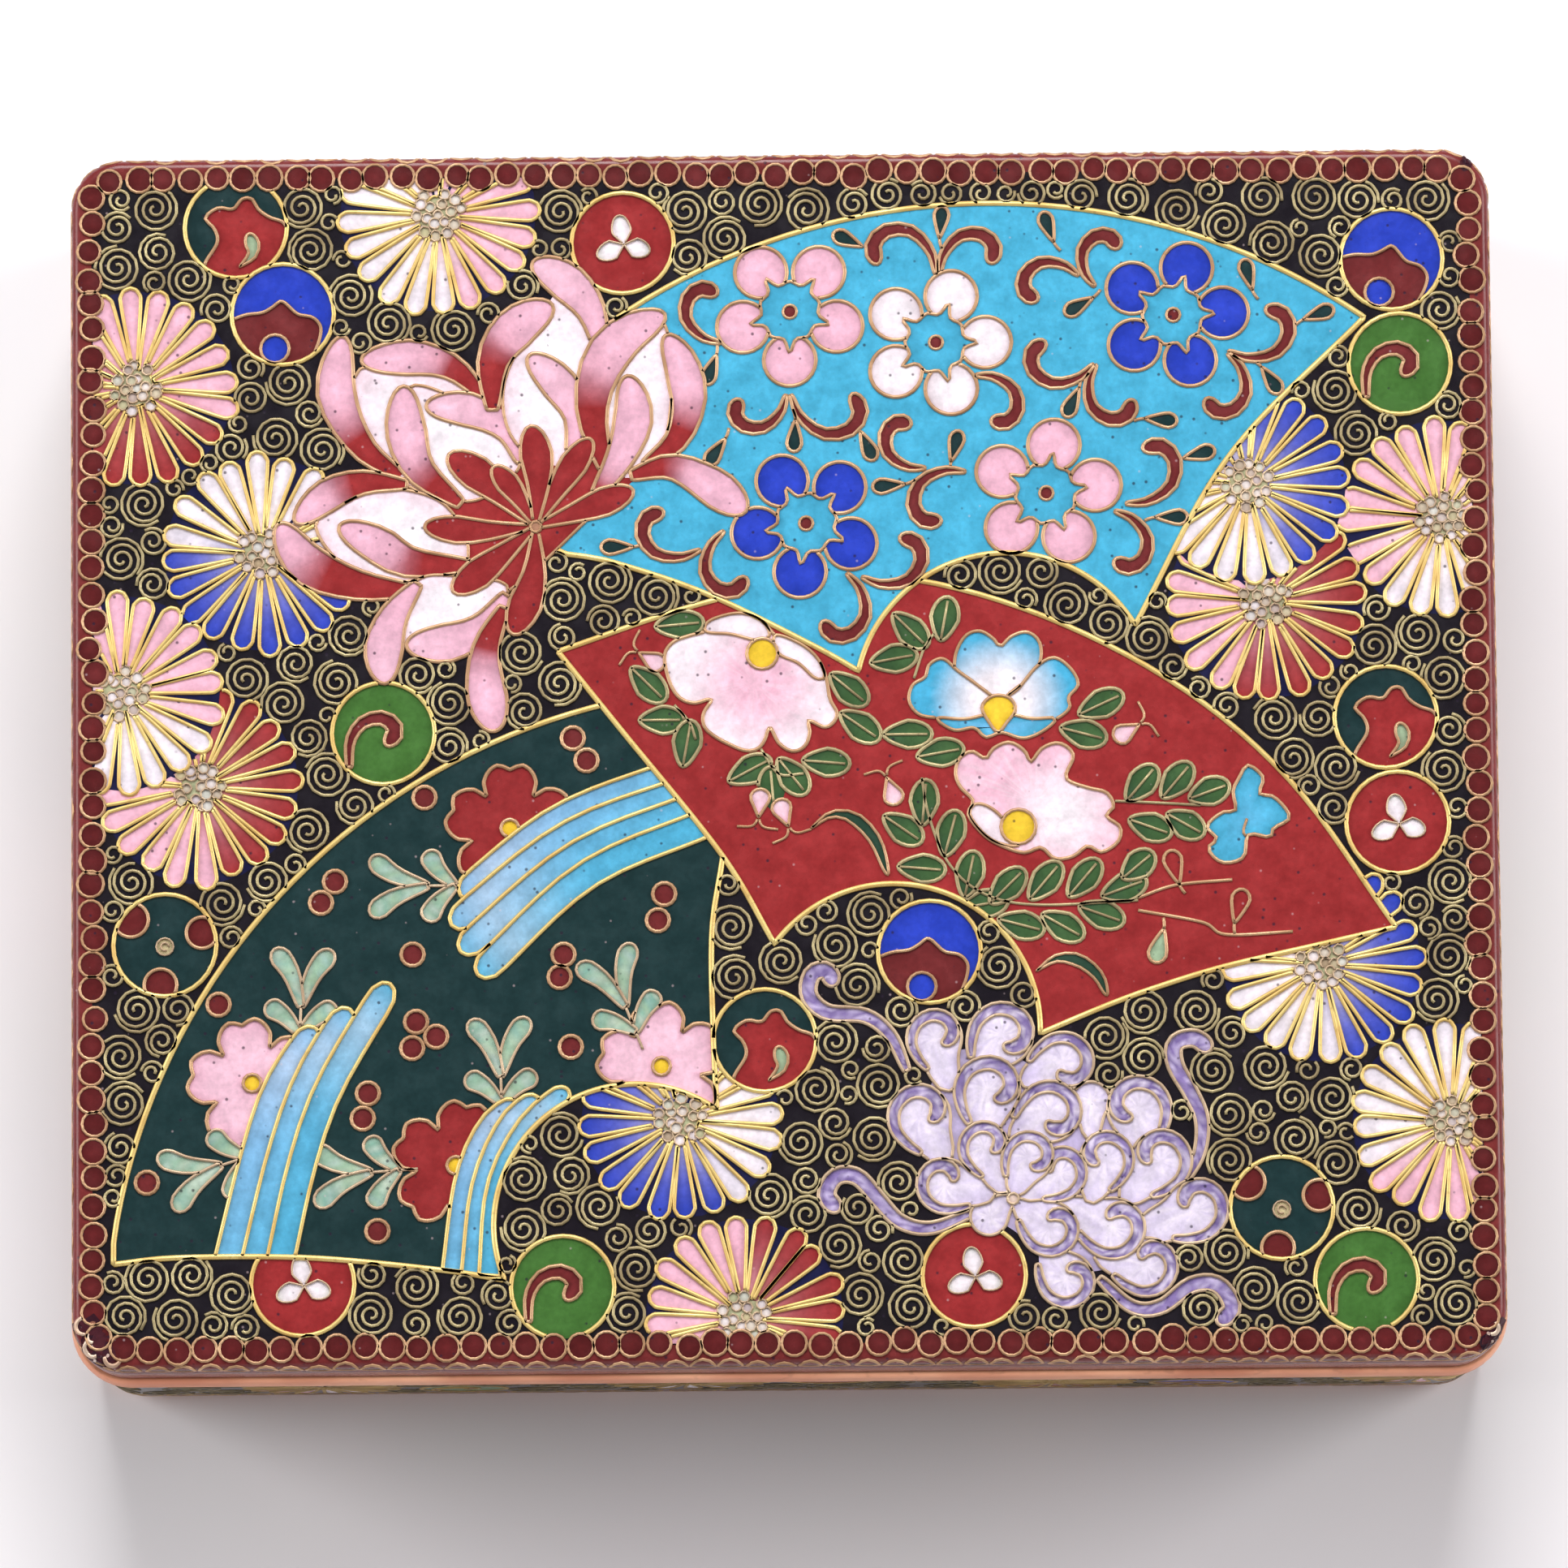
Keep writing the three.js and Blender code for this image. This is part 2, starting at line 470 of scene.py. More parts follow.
class Inlay:
    """A picture laid cell by cell: each cell hides the cells and wires that were laid before it there."""

    def __init__(self, skin, limit=None):
        self.skin, self.limit, self.things = skin, limit, []

    def cell(self, cell, colour, width=0.4, metal="rose", within=None):
        """Lays a cell of enamel with a wire round it; width 0 leaves the wire out."""
        colour = np.asarray(colour, float)
        if colour.ndim == 1:
            # a single colour is toned too, and so gets its painted shade towards the wires
            colour = toned(cell, (0, colour), (1, colour))
        bound = self.limit if within is None else within
        if bound is not None:
            flat = cell.grid.reshape(-1, 2)
            out = ~inside(flat, bound)
            if out.all():
                return None
            if out.any():
                flat = flat.copy()
                flat[out] = nearest_on(flat[out], bound)
                cell = Cell(flat.reshape(cell.grid.shape), cell.u, cell.v, cell.ring)
        line = cell.outline
        self.things.append({"cell": cell, "colour": colour, "line": line, "bound": bound})
        if width:
            self.line(line, width, metal, closed=True, within=bound)
        return line

    def line(self, path, width=0.4, metal="rose", closed=False, within=None):
        """Lays a wire on its own."""
        thing = {"wire": path, "width": width, "metal": metal, "closed": closed}
        self.things.append({**thing, "bound": within, "fine": 0.22})

    def hide(self, line):
        """Keeps what was laid before from showing inside a closed line."""
        self.things.append({"line": line})

    def covers(self):
        """The outlines of all cells, in order."""
        return [t["line"] for t in self.things if "line" in t]

    def lay(self, enamel, metals):
        """Finds each cell's level and each wire's visible stretches, and adds them to the pieces."""
        cells = [(k, t) for k, t in enumerate(self.things) if "cell" in t]
        boxes = np.array([[*t["line"].min(0), *t["line"].max(0)] for _, t in cells]).reshape(-1, 4)
        levels = np.zeros(len(cells))
        for n, (_, t) in enumerate(cells):
            mine = self.probe(t["cell"])
            meets = (boxes[:n, 0] < boxes[n, 2]) & (boxes[:n, 2] > boxes[n, 0])
            meets &= (boxes[:n, 1] < boxes[n, 3]) & (boxes[:n, 3] > boxes[n, 1])
            level = 1
            for m in np.where(meets)[0]:
                if levels[m] >= level:
                    other = cells[m][1]
                    theirs = self.probe(other["cell"])
                    if inside(mine, other["line"]).any() or inside(theirs, t["line"]).any():
                        level = levels[m] + 1
            levels[n] = level
        step = min(STEP, HIGHEST / levels.max())
        for level, (_, t) in zip(levels, cells):
            self.plate(enamel, t, level * step)
        order = np.array([k for k, t in enumerate(self.things) if "line" in t])
        shapes = self.covers()
        boxes = np.array([[*c.min(0), *c.max(0)] for c in shapes])
        for k, t in enumerate(self.things):
            if "wire" not in t:
                continue
            later = np.where(order > k)[0]
            self.string(t, [shapes[m] for m in later], boxes[later], metals)

    @staticmethod
    def probe(cell):
        """Points a little inside a cell."""
        g = cell.grid
        if cell.ring:
            return np.concatenate([g[:-1].reshape(-1, 2), g[-1] * 0.96 + g[0] * 0.04])
        g = g.copy()
        g[:, 0] = g[:, 0] * 0.95 + g[:, 1] * 0.05
        g[:, -1] = g[:, -1] * 0.95 + g[:, -2] * 0.05
        return g[1:-1].reshape(-1, 2)

    def plate(self, piece, thing, height):
        """A thin raised plate of enamel with its edge carried down to the ground."""
        cell, colour = thing["cell"], thing["colour"]
        if cell.ring:
            grid = np.concatenate([cell.grid, cell.grid[-1:]])
            colour = np.concatenate([colour, colour[-1:]])
            rise = np.full(grid.shape[:2], height)
            rise[-1] = SUNK
        else:
            frame_of = ((1, 1), (1, 1), (0, 0))
            grid = np.pad(cell.grid, frame_of, mode="edge")
            colour = np.pad(colour, frame_of, mode="edge")
            rise = np.pad(np.full(cell.grid.shape[:2], height), 1, constant_values=SUNK)
            outline = cell.outline
            x, y = outline[:, 0], outline[:, 1]
            turns = (x * np.roll(y, -1) - np.roll(x, -1) * y).sum()
            if turns > 0:
                grid, colour, rise = grid[:, ::-1], colour[:, ::-1], rise[:, ::-1]
        piece.patch(self.skin(grid, rise), colour, ring=cell.ring)

    def string(self, thing, covers, boxes, metals):
        """Cuts a wire where later cells cover it or it leaves its bounds, and lays what is left."""
        path, closed, fine = thing["wire"], thing["closed"], thing["fine"]
        low, high = path.min(0), path.max(0)
        meets = (boxes[:, 0] < high[0]) & (boxes[:, 2] > low[0])
        meets &= (boxes[:, 1] < high[1]) & (boxes[:, 3] > low[1])
        near = [covers[k] for k in np.where(meets)[0]]
        bound = thing["bound"]
        if bound is not None and not near:
            gap = np.linalg.norm(nearest_on(path, bound) - path, axis=1).min()
            if gap > 0.5 and inside(path, bound).all():
                bound = None
        if not near and bound is None:
            self.run(thing, path, closed, metals)
            return
        loop = np.vstack([path, path[:1]]) if closed else path
        length = np.linalg.norm(np.diff(loop, axis=0), axis=1).sum()
        dense = resample(path, max(8, int(length / fine)), closed)
        shown = np.ones(len(dense), bool)
        for cover in near:
            shown &= ~inside(dense, cover)
        if bound is not None:
            gap = np.linalg.norm(nearest_on(dense, bound) - dense, axis=1)
            shown &= inside(dense, bound) & (gap > 0.03)
        if shown.all():
            self.run(thing, path, closed, metals)
            return
        if not shown.any():
            return
        if closed:
            start = np.where(~shown)[0][0]
            dense, shown = np.roll(dense, -start, axis=0), np.roll(shown, -start)
        edges = np.flatnonzero(np.diff(np.concatenate([[0], shown.astype(int), [0]])))
        for a, b in edges.reshape(-1, 2):
            if b - a >= 4:
                self.run(thing, dense[a:b], False, metals)

    def run(self, thing, path, closed, metals):
        """Lays one visible stretch of a wire."""
        lay_wire(metals[thing["metal"]], path, thing["width"], self.skin, closed)


# ---------------------------------------------------------------- ornaments
def at(centre, distance, angle):
    """The point at a distance and an angle in degrees from a centre."""
    a = math.radians(angle)
    return np.array([centre[0] + distance * math.cos(a), centre[1] + distance * math.sin(a)])


def chrysanthemum(inlay, x, y, first, second, lean, radius=8.1, petals=20):
    """A round flower of drop-shaped petals, one colour towards the lean angle and another away from it,
    and a heart of small grains."""
    inlay.cell(round_cell((x, y), radius * 0.97, 28), mix(BLACK, COBALT, 0.1), width=0)
    for k in range(petals):
        angle = 4.0 + 360 / petals * k + seeded.normal(0, 0.9)
        away = abs((angle - lean + 180) % 360 - 180)
        tint, other = (first, second) if away < 92 else (second, first)
        reach = radius * (1 + 0.02 * seeded.normal())
        petal = blade([at((x, y), 1.5, angle), at((x, y), reach, angle)], radius * 0.105, 0.86, root=0.2)
        inner = mix(tint, WHITE, 0.4) if tint is COBALT else mix(tint, PALE_PINK, 0.25)
        if abs(away - 92) < 20:
            inner = mix(tint, other, 0.7)
        tip = mix(tint, COBALT, 0.1) if tint is WHITE else tint
        inlay.cell(petal, toned(petal, (0, inner), (0.5, mix(tint, inner, 0.2)), (1, tip)), 0.34, "gilt")
    heart = round_cell((x, y), radius * 0.2, 14, 3, lobed(7, 0.12))
    inlay.cell(heart, toned(heart, (0, mix(IVORY, SAGE, 0.6)), (1, mix(IVORY, SAGE, 0.3))), 0.2, "gilt")
    for count, out in ((1, 0.0), (6, 0.11), (10, 0.21)):
        for k in range(count):
            far = radius * (out + 0.014 * seeded.normal())
            spot = at((x, y), far, 360 / count * k + 24 * seeded.random())
            tint = mix(WHITE, IVORY, seeded.random())
            other = (SAGE, MAROON, WHITE)[seeded.integers(3)]
            tint = mix(tint, other, 0.4 * seeded.random())
            inlay.cell(round_cell(spot, 0.4 + 0.08 * seeded.random(), 7, 2), tint, 0.17, "pale")


def medallion(inlay, x, y, kind, turn=0.0, radius=4.1):
    """A small round panel with one of five traditional figures in it, drawn in a circle of radius one."""
    ground = {"cloud": COBALT, "comma": GRASS, "leaf": FOREST, "trefoil": RED, "discs": FOREST}[kind]
    rim = inlay.cell(round_cell((x, y), radius, 32, 4), ground, 0)
    t = math.radians(turn)

    def spots(*points):
        p = np.array(points) * radius
        spun = [p[:, 0] * math.cos(t) - p[:, 1] * math.sin(t), p[:, 0] * math.sin(t) + p[:, 1] * math.cos(t)]
        return np.stack(spun, -1) + (x, y)

    if kind == "cloud":
        top_edge = [(-1.0, -0.1), (-0.72, 0.0), (-0.4, 0.04), (-0.2, 0.15), (-0.03, 0.27), (0.13, 0.15),
                    (0.3, 0.0), (0.58, -0.06), (0.74, -0.24), (0.72, -0.5), (0.6, -0.82)]
        low = arc((x, y), radius, turn - 54, turn - 174, 14)
        bank = web(np.vstack([smooth(spots(*top_edge), 34), low]), spots((-0.05, -0.3))[0])
        inlay.cell(bank, MAROON, 0.3, within=rim)
        inlay.cell(round_cell(spots((-0.15, -0.68))[0], radius * 0.28, 16), COBALT, 0.3, within=rim)
    elif kind == "comma":
        spine = spots((-0.66, -0.66), (-0.64, -0.14), (-0.4, 0.22), (0.0, 0.3), (0.24, 0.06), (0.06, -0.24))
        inlay.cell(blade(spine, radius * 0.155, 0.86, root=0.35, rows=18), MAROON, 0.32, within=rim)
    elif kind == "leaf":
        edge = [(-0.6, -0.8), (-0.36, -0.3), (-0.42, -0.02), (-0.6, 0.2), (-0.34, 0.4), (-0.06, 0.36),
                (0.1, 0.56), (0.3, 0.58), (0.44, 0.36), (0.66, 0.2), (0.98, 0.04), (0.9, -0.5),
                (0.5, -0.9), (0.0, -1.0)]
        inlay.cell(blob(spots(*edge), 48, spots((0.1, -0.2))[0]), RED, 0.32, within=rim)
        tear = blade(spots((0.08, -0.78), (0.34, -0.5), (0.26, -0.12)), radius * 0.13, 0.7, rows=12)
        inlay.cell(tear, toned(tear, (0, mix(SAGE, MAROON, 0.3)), (1, SAGE)), 0.28, within=rim)
    elif kind == "trefoil":
        for angle in (98, 208, -18):
            a = math.radians(angle)
            lobe = blade(spots((0.03, -0.03), (0.56 * math.cos(a), 0.56 * math.sin(a))), radius * 0.19, 0.42)
            inlay.cell(lobe, toned(lobe, (0, WHITE), (0.7, WHITE), (1, mix(WHITE, SAGE, 0.4))), 0.16, "pale")
    else:
        for spot, size in (((-0.66, 0.5), 0.34), ((0.72, 0.24), 0.31), ((-0.08, -0.78), 0.32)):
            inlay.cell(round_cell(spots(spot)[0], radius * size, 18), RING_RED, 0.32, within=rim)
        inlay.cell(round_cell(spots((0.0, -0.03))[0], radius * 0.17, 12), IVORY, 0.16, "pale")
        inlay.line(arc(spots((0.0, -0.03))[0], radius * 0.08, 0, 300, 8), 0.16, "pale")
    inlay.line(rim, 0.4, "gilt", closed=True, within=inlay.limit)


def plum(inlay, x, y, colour, turn=90.0):
    """Five round petals, and over them a star of the ground's colour whose points reach into the petals."""
    for k in range(5):
        petal = round_cell(at((x, y), 3.95, turn + 72 * k), 2.1, 22, 3)
        deep = mix(colour, PINK, 0.25) if colour is WHITE else mix(colour, BLACK, 0.05)
        inlay.cell(petal, toned(petal, (0, colour), (0.7, colour), (1, deep)), 0.36)
    spots = [at((x, y), 2.5 if k % 2 else 3.35, turn + 36 * k) for k in range(10)]
    between = [at((x, y), 2.3, turn + 36 * k + 12 * side) for k in range(0, 10, 2) for side in (-1, 1)]
    ring = []
    for k in range(5):
        ring += [between[2 * k], spots[2 * k], between[2 * k + 1], spots[2 * k + 1]]
    star = blob(ring, 60, (x, y))
    inlay.cell(star, TURQUOISE, 0.32)
    inlay.cell(round_cell((x, y), 0.56, 12, 2), MAROON, 0.26)


def hook(inlay, stem, bulb, side):
    """A comma that leaves its stem, swings out to one side and hooks back to a round bulb."""
    stem, bulb = np.array(stem, float), np.array(bulb, float)
    go = bulb - stem
    left = np.array([-go[1], go[0]]) * side
    way = [(0, 0), (0.14, 0.36), (0.5, 0.66), (0.92, 0.62), (1.12, 0.34), (1.0, 0.02)]
    spine = [stem + a * go + b * left for a, b in way]
    inlay.cell(blade(spine, 0.62, 0.88, root=0.12, rows=16, power=0.6), MAROON, 0.34)


def drop(inlay, x, y, angle, colour=FOREST, long=2.6, wide=0.62):
    """A drop with its point and a short wire turned to an angle."""
    point = at((x, y), long * 0.5, angle)
    inlay.line(np.array([at(point, 0.9 * f, angle + 12 * f) for f in np.linspace(0, 1, 4)]), 0.3)
    inlay.cell(blade([point, at((x, y), long * 0.5, angle + 170)], wide, 0.68, power=0.8), colour, 0.32)


def leaf(inlay, x, y, angle, long, within):
    """A pointed leaf with a midrib."""
    a, b = at((x, y), long / 2, angle + 180), at((x, y), long / 2, angle)
    shape = blade([a, b], 1.12, 0.5, rows=11, power=0.55)
    tone = toned(shape, (0, mix(LEAF, FOREST, 0.5)), (0.6, LEAF), (1, LEAF), edge=0.7)
    inlay.cell(shape, tone, 0.36, "scroll", within)
    inlay.line(resample(np.array([a, at((x, y), long * 0.4, angle)]), 4), 0.24, "scroll", within=within)


def lobed(petals, depth=0.3, notch=0.0, sharp=0.6):
    """The edge of a flower by angle, as a share of its radius: the size of a cosine, to a power, gives
    rounded petals, and a narrow bell taken off at each tip gives it a small notch."""

    def shape(a):
        wave = np.abs(np.cos(petals * a / 2)) ** sharp
        off = (a + math.pi / petals) % (2 * math.pi / petals) - math.pi / petals
        return 1 - depth + depth * wave - notch * np.exp(-((off / 0.13) ** 2))

    return shape


def blossom(inlay, x, y, radius, colour, turn=0.0, within=None):
    """A five-petalled flower in one cell, with a yellow middle."""
    flower = round_cell((x, y), radius, 60, 4, lobed(5, 0.42, 0.13, 0.55), turn=turn)
    inner = mix(colour, WHITE, 0.25) if colour is not RED else mix(RED, MAROON, 0.3)
    inlay.cell(flower, toned(flower, (0, colour), (0.5, inner), (1, colour)), 0.36, within=within)
    inlay.cell(round_cell((x, y), 0.72, 12, 2), YELLOW, 0.3, within=within)


def sprig(inlay, x, y, angle, within):
    """A stem with two pairs of pale finger-shaped leaves, the upper ones longer and closer together."""
    stem = np.array([at((x, y), 2.2, angle + 180), at((x, y), 2.4, angle)])
    inlay.line(resample(stem, 6), 0.26, "pale")
    for far, lean, long in ((-0.7, 48, 3.6), (1.5, 24, 5.1)):
        for side in (-1, 1):
            root = at((x, y), far, angle)
            way = angle + side * lean
            spine = [root, at(root, long * 0.55, way - side * 5), at(root, long, way + side * 3)]
            finger = blade(spine, 0.8, 0.8, root=0.3, rows=12, power=0.8)
            pale_root, cool = mix(SAGE, WHITE, 0.2), mix(SAGE, TEAL, 0.35)
            tone = toned(finger, (0, pale_root), (0.4, SAGE), (0.8, cool), (1, SAGE))
            inlay.cell(finger, mottled(tone, (TEAL, 0.5), (WHITE, 0.25)), 0.27, "pale", within)


def berry(inlay, x, y, within):
    """A small dark red bead."""
    inlay.cell(round_cell((x, y), 0.92, 14, 2), MAROON, 0.34, within=within)


def curl_petal(inlay, head, size, root, hand):
    """A comma-shaped petal: a pale drop from its root to its head, and a darker band along its back that
    goes round the head and hooks in at the tip; hand is the way the band turns, or 0 for none."""
    head, root = np.array(head, float), np.array(root, float)
    toward = math.atan2(*(root - head)[::-1])
    reach = max(np.linalg.norm(root - head) / size - 1, 0.05)

    def teardrop(a):
        off = np.angle(np.exp(1j * (a - toward)))
        return 1 + reach * np.exp(-((off / 0.42) ** 2))

    body = round_cell(head, size, 34, 4, teardrop)
    tone = toned(body, (0, mix(LILAC, WHITE, 0.6)), (0.6, mix(LILAC, WHITE, 0.3)), (1, LILAC), edge=0.9)
    inlay.cell(body, mottled(tone, (WHITE, 0.6), (PURPLE, 0.3)), 0.28, "pale")
    if hand:
        a = toward + hand * np.radians([28, 55, 95, 140, 185, 225, 262, 296, 322])
        far = size * np.array([1.2, 0.97, 0.88, 0.86, 0.86, 0.84, 0.74, 0.53, 0.32])
        spine = head + far[:, None] * np.column_stack([np.cos(a), np.sin(a)])
        band = blade(spine, size * 0.235, 0.88, root=0.2, rows=30, power=0.35, cols=5)
        tone = mottled(toned(band, (0, PURPLE), (1, PURPLE)), (DUSK, 0.8), (mix(LILAC, WHITE, 0.5), 0.9))
        inlay.cell(band, tone, 0.28, "pale")


def tendril(inlay, points):
    """A long curling leaf, round where it hooks and thin where it joins the flower."""
    shape = blade(points[::-1], 0.68, 0.94, root=0.3, rows=44, power=0.4, cols=5)
    tone = mottled(toned(shape, (0, PURPLE), (1, PURPLE)), (DUSK, 0.7), (LILAC, 0.8))
    inlay.cell(shape, tone, 0.32, "pale")


def lotus_lobe(inlay, spine, width=1.3, red=0.4, peak=0.62):
    """One folded edge of a petal: red from its root for a share of its length, and pink from there on."""
    shape = blade(spine, width * 1.12, peak, root=0.25, rows=16, power=0.8)
    if red:
        turns = (min(red + 0.14, 1), mix(RED, PINK, 0.8))
        tone = toned(shape, (0, RED), (red, RED), turns, (red + 0.3, PINK), (1.31, PINK))
    else:
        tone = toned(shape, (0, mix(PINK, RED, 0.12)), (0.4, PINK), (1, mix(PINK, WHITE, 0.15)))
    inlay.cell(shape, tone, 0.36)


def lotus_body(inlay, outline):
    """The white inside of a petal, between its folded edges."""
    shape = blob(outline, 40)
    inlay.cell(shape, toned(shape, (0, WHITE), (0.6, WHITE), (1, mix(WHITE, PINK, 0.45)), edge=0.97), 0.3)


# ---------------------------------------------------------------- scroll ground
def scroll(centre, radius, turn, hand, pitch=0.6):
    """A flat spiral: the distance from its centre grows evenly with the angle, and is even at first."""
    turns = max((radius - 0.24) / pitch, 0.5) + 0.5
    steps = max(8, int(turns * 13))
    a = np.linspace(0, 2 * math.pi * turns, steps)
    r = radius - pitch * np.maximum(a / (2 * math.pi) - 0.5, 0)
    return np.column_stack([centre[0] + r * np.cos(turn + hand * a), centre[1] + r * np.sin(turn + hand * a)])


def fill_with_scrolls(inlay, bound, sizes, metals, pitch=0.6, width=0.28, step=0.25, tuck=0.84):
    """Packs scrolls into what is left open inside a bound: the largest first, each as close to its neighbours
    as it goes; where one reaches under a cell or past the bound, its wire is cut."""
    low, high = bound.min(0), bound.max(0)
    xs, ys = np.arange(low[0], high[0], step), np.arange(low[1], high[1], step)
    spots = np.stack(np.meshgrid(xs, ys, indexing="ij"), -1).reshape(-1, 2)
    spots = spots[inside(spots, bound)]
    covers = inlay.covers()
    room = np.full(len(spots), 9.0)
    for cover in covers:
        near = np.where(((spots > cover.min(0) - 2.4) & (spots < cover.max(0) + 2.4)).all(1) & (room > 0))[0]
        if len(near) == 0:
            continue
        gap = np.linalg.norm(nearest_on(spots[near], cover) - spots[near], axis=1)
        gap[inside(spots[near], cover)] = -1
        room[near] = np.minimum(room[near], gap)
    spots, room = spots[room > 0.3], room[room > 0.3]
    for part in np.array_split(np.arange(len(spots)), max(1, len(spots) // 2000)):
        gap = np.linalg.norm(nearest_on(spots[part], bound) - spots[part], axis=1)
        room[part] = np.minimum(room[part], gap)
    boxes = np.array([[*c.min(0), *c.max(0)] for c in covers]).reshape(-1, 4)
    apart = np.full(len(spots), 9.0)
    for radius in sizes:
        while True:
            fits = np.where((room >= radius * tuck) & (apart >= radius))[0]
            if len(fits) == 0:
                break
            near = np.minimum(room[fits], apart[fits]) + 0.002 * seeded.random(len(fits))
            centre = spots[fits[np.argmin(near)]]
            path = scroll(centre, radius - 0.02, seeded.random() * 6.28, seeded.choice([-1, 1]), pitch)
            thing = {"wire": path, "width": width, "metal": "scroll", "closed": False}
            inlay.string({**thing, "bound": bound, "fine": 0.24}, covers, boxes, metals)
            apart = np.minimum(apart, np.linalg.norm(spots - centre, axis=1) - radius)


# ---------------------------------------------------------------- materials
def graph(name):
    """A new node material: its nodes, its links and its main shader."""
    material = bpy.data.materials.new(name)
    material.use_nodes = True
    nodes = material.node_tree.nodes
    return material, nodes, material.node_tree.links, nodes["Principled BSDF"]


def node(nodes, kind, **settings):
    """A node with some of its settings and sockets filled in."""
    made = nodes.new(kind)
    for key, value in settings.items():
        if key.startswith("in_"):
            made.inputs[key[3:].replace("_", " ")].default_value = value
        else:
            setattr(made, key, value)
    return made


def ramp(nodes, links, source, low, high, start=0.0, end=1.0):
    """Maps a value from low..high to start..end and holds it there."""
    made = node(nodes, "ShaderNodeMapRange")
    made.inputs["From Min"].default_value = low
    made.inputs["From Max"].default_value = high
    made.inputs["To Min"].default_value = start
    made.inputs["To Max"].default_value = end
    links.new(source, made.inputs["Value"])
    return made.outputs["Result"]


def blend_colour(nodes, links, amount, a, b):
    """Mixes two colours by an amount; each may be a socket or a constant."""
    made = node(nodes, "ShaderNodeMix", data_type="RGBA", blend_type="MIX")
    for value, socket in ((amount, made.inputs[0]), (a, made.inputs[6]), (b, made.inputs[7])):
        if isinstance(value, bpy.types.NodeSocket):
            links.new(value, socket)
        elif isinstance(value, (int, float)):
            socket.default_value = value
        else:
            socket.default_value = (*value, 1)
    return made.outputs[2]


def enamel_material(name):
    """Fired glass: the cell's colour, cloudy, with dark pinholes, pale grains and a soft gloss."""
    material, nodes, links, shader = graph(name)
    where = node(nodes, "ShaderNodeTexCoord").outputs["Object"]
    glaze = node(nodes, "ShaderNodeAttribute", attribute_name="glaze").outputs["Color"]
    cloud = node(nodes, "ShaderNodeTexNoise", in_Scale=520.0, in_Detail=3.0)
    grain = node(nodes, "ShaderNodeTexNoise", in_Scale=2600.0, in_Detail=2.0)
    holes = node(nodes, "ShaderNodeTexVoronoi", in_Scale=1020.0)
    flecks = node(nodes, "ShaderNodeTexVoronoi", in_Scale=1150.0)
    for texture in (cloud, grain, holes, flecks):
        links.new(where, texture.inputs["Vector"])
    depth = ramp(nodes, links, cloud.outputs["Fac"], 0.3, 0.7, 0.84, 1.1)
    fine = ramp(nodes, links, grain.outputs["Fac"], 0.3, 0.7, 0.9, 1.08)
    both = node(nodes, "ShaderNodeMath", operation="MULTIPLY")
    links.new(depth, both.inputs[0])
    links.new(fine, both.inputs[1])
    cloudy = node(nodes, "ShaderNodeVectorMath", operation="SCALE")
    links.new(glaze, cloudy.inputs[0])
    links.new(both.outputs[0], cloudy.inputs["Scale"])
    pit = ramp(nodes, links, holes.outputs["Distance"], 0.08, 0.17, 1.0, 0.0)
    some = node(nodes, "ShaderNodeSeparateColor")
    links.new(holes.outputs["Color"], some.inputs[0])
    chosen = ramp(nodes, links, some.outputs[0], 0.52, 0.54, 0.0, 0.75)
    pitted = node(nodes, "ShaderNodeMath", operation="MULTIPLY")
    links.new(pit, pitted.inputs[0])
    links.new(chosen, pitted.inputs[1])
    fleck = ramp(nodes, links, flecks.outputs["Distance"], 0.07, 0.15, 1.0, 0.0)
    few = node(nodes, "ShaderNodeSeparateColor")
    links.new(flecks.outputs["Color"], few.inputs[0])
    picked = ramp(nodes, links, few.outputs[1], 0.84, 0.86, 0.0, 0.28)
    flecked = node(nodes, "ShaderNodeMath", operation="MULTIPLY")
    links.new(fleck, flecked.inputs[0])
    links.new(picked, flecked.inputs[1])
    pale = blend_colour(nodes, links, flecked.outputs[0], cloudy.outputs[0], paint(226, 200, 206))
    final = blend_colour(nodes, links, pitted.outputs[0], pale, paint(40, 30, 48))
    links.new(final, shader.inputs["Base Color"])
    links.new(ramp(nodes, links, cloud.outputs["Fac"], 0.35, 0.65, 0.2, 0.32), shader.inputs["Roughness"])
    shader.inputs["Specular IOR Level"].default_value = 0.35
    bump = node(nodes, "ShaderNodeBump", in_Strength=0.25)
    bump.inputs["Distance"].default_value = 0.00004
    rough = node(nodes, "ShaderNodeMath", operation="SUBTRACT")
    links.new(cloud.outputs["Fac"], rough.inputs[0])
    links.new(pitted.outputs[0], rough.inputs[1])
    links.new(rough.outputs[0], bump.inputs["Height"])
    links.new(bump.outputs["Normal"], shader.inputs["Normal"])
    return material


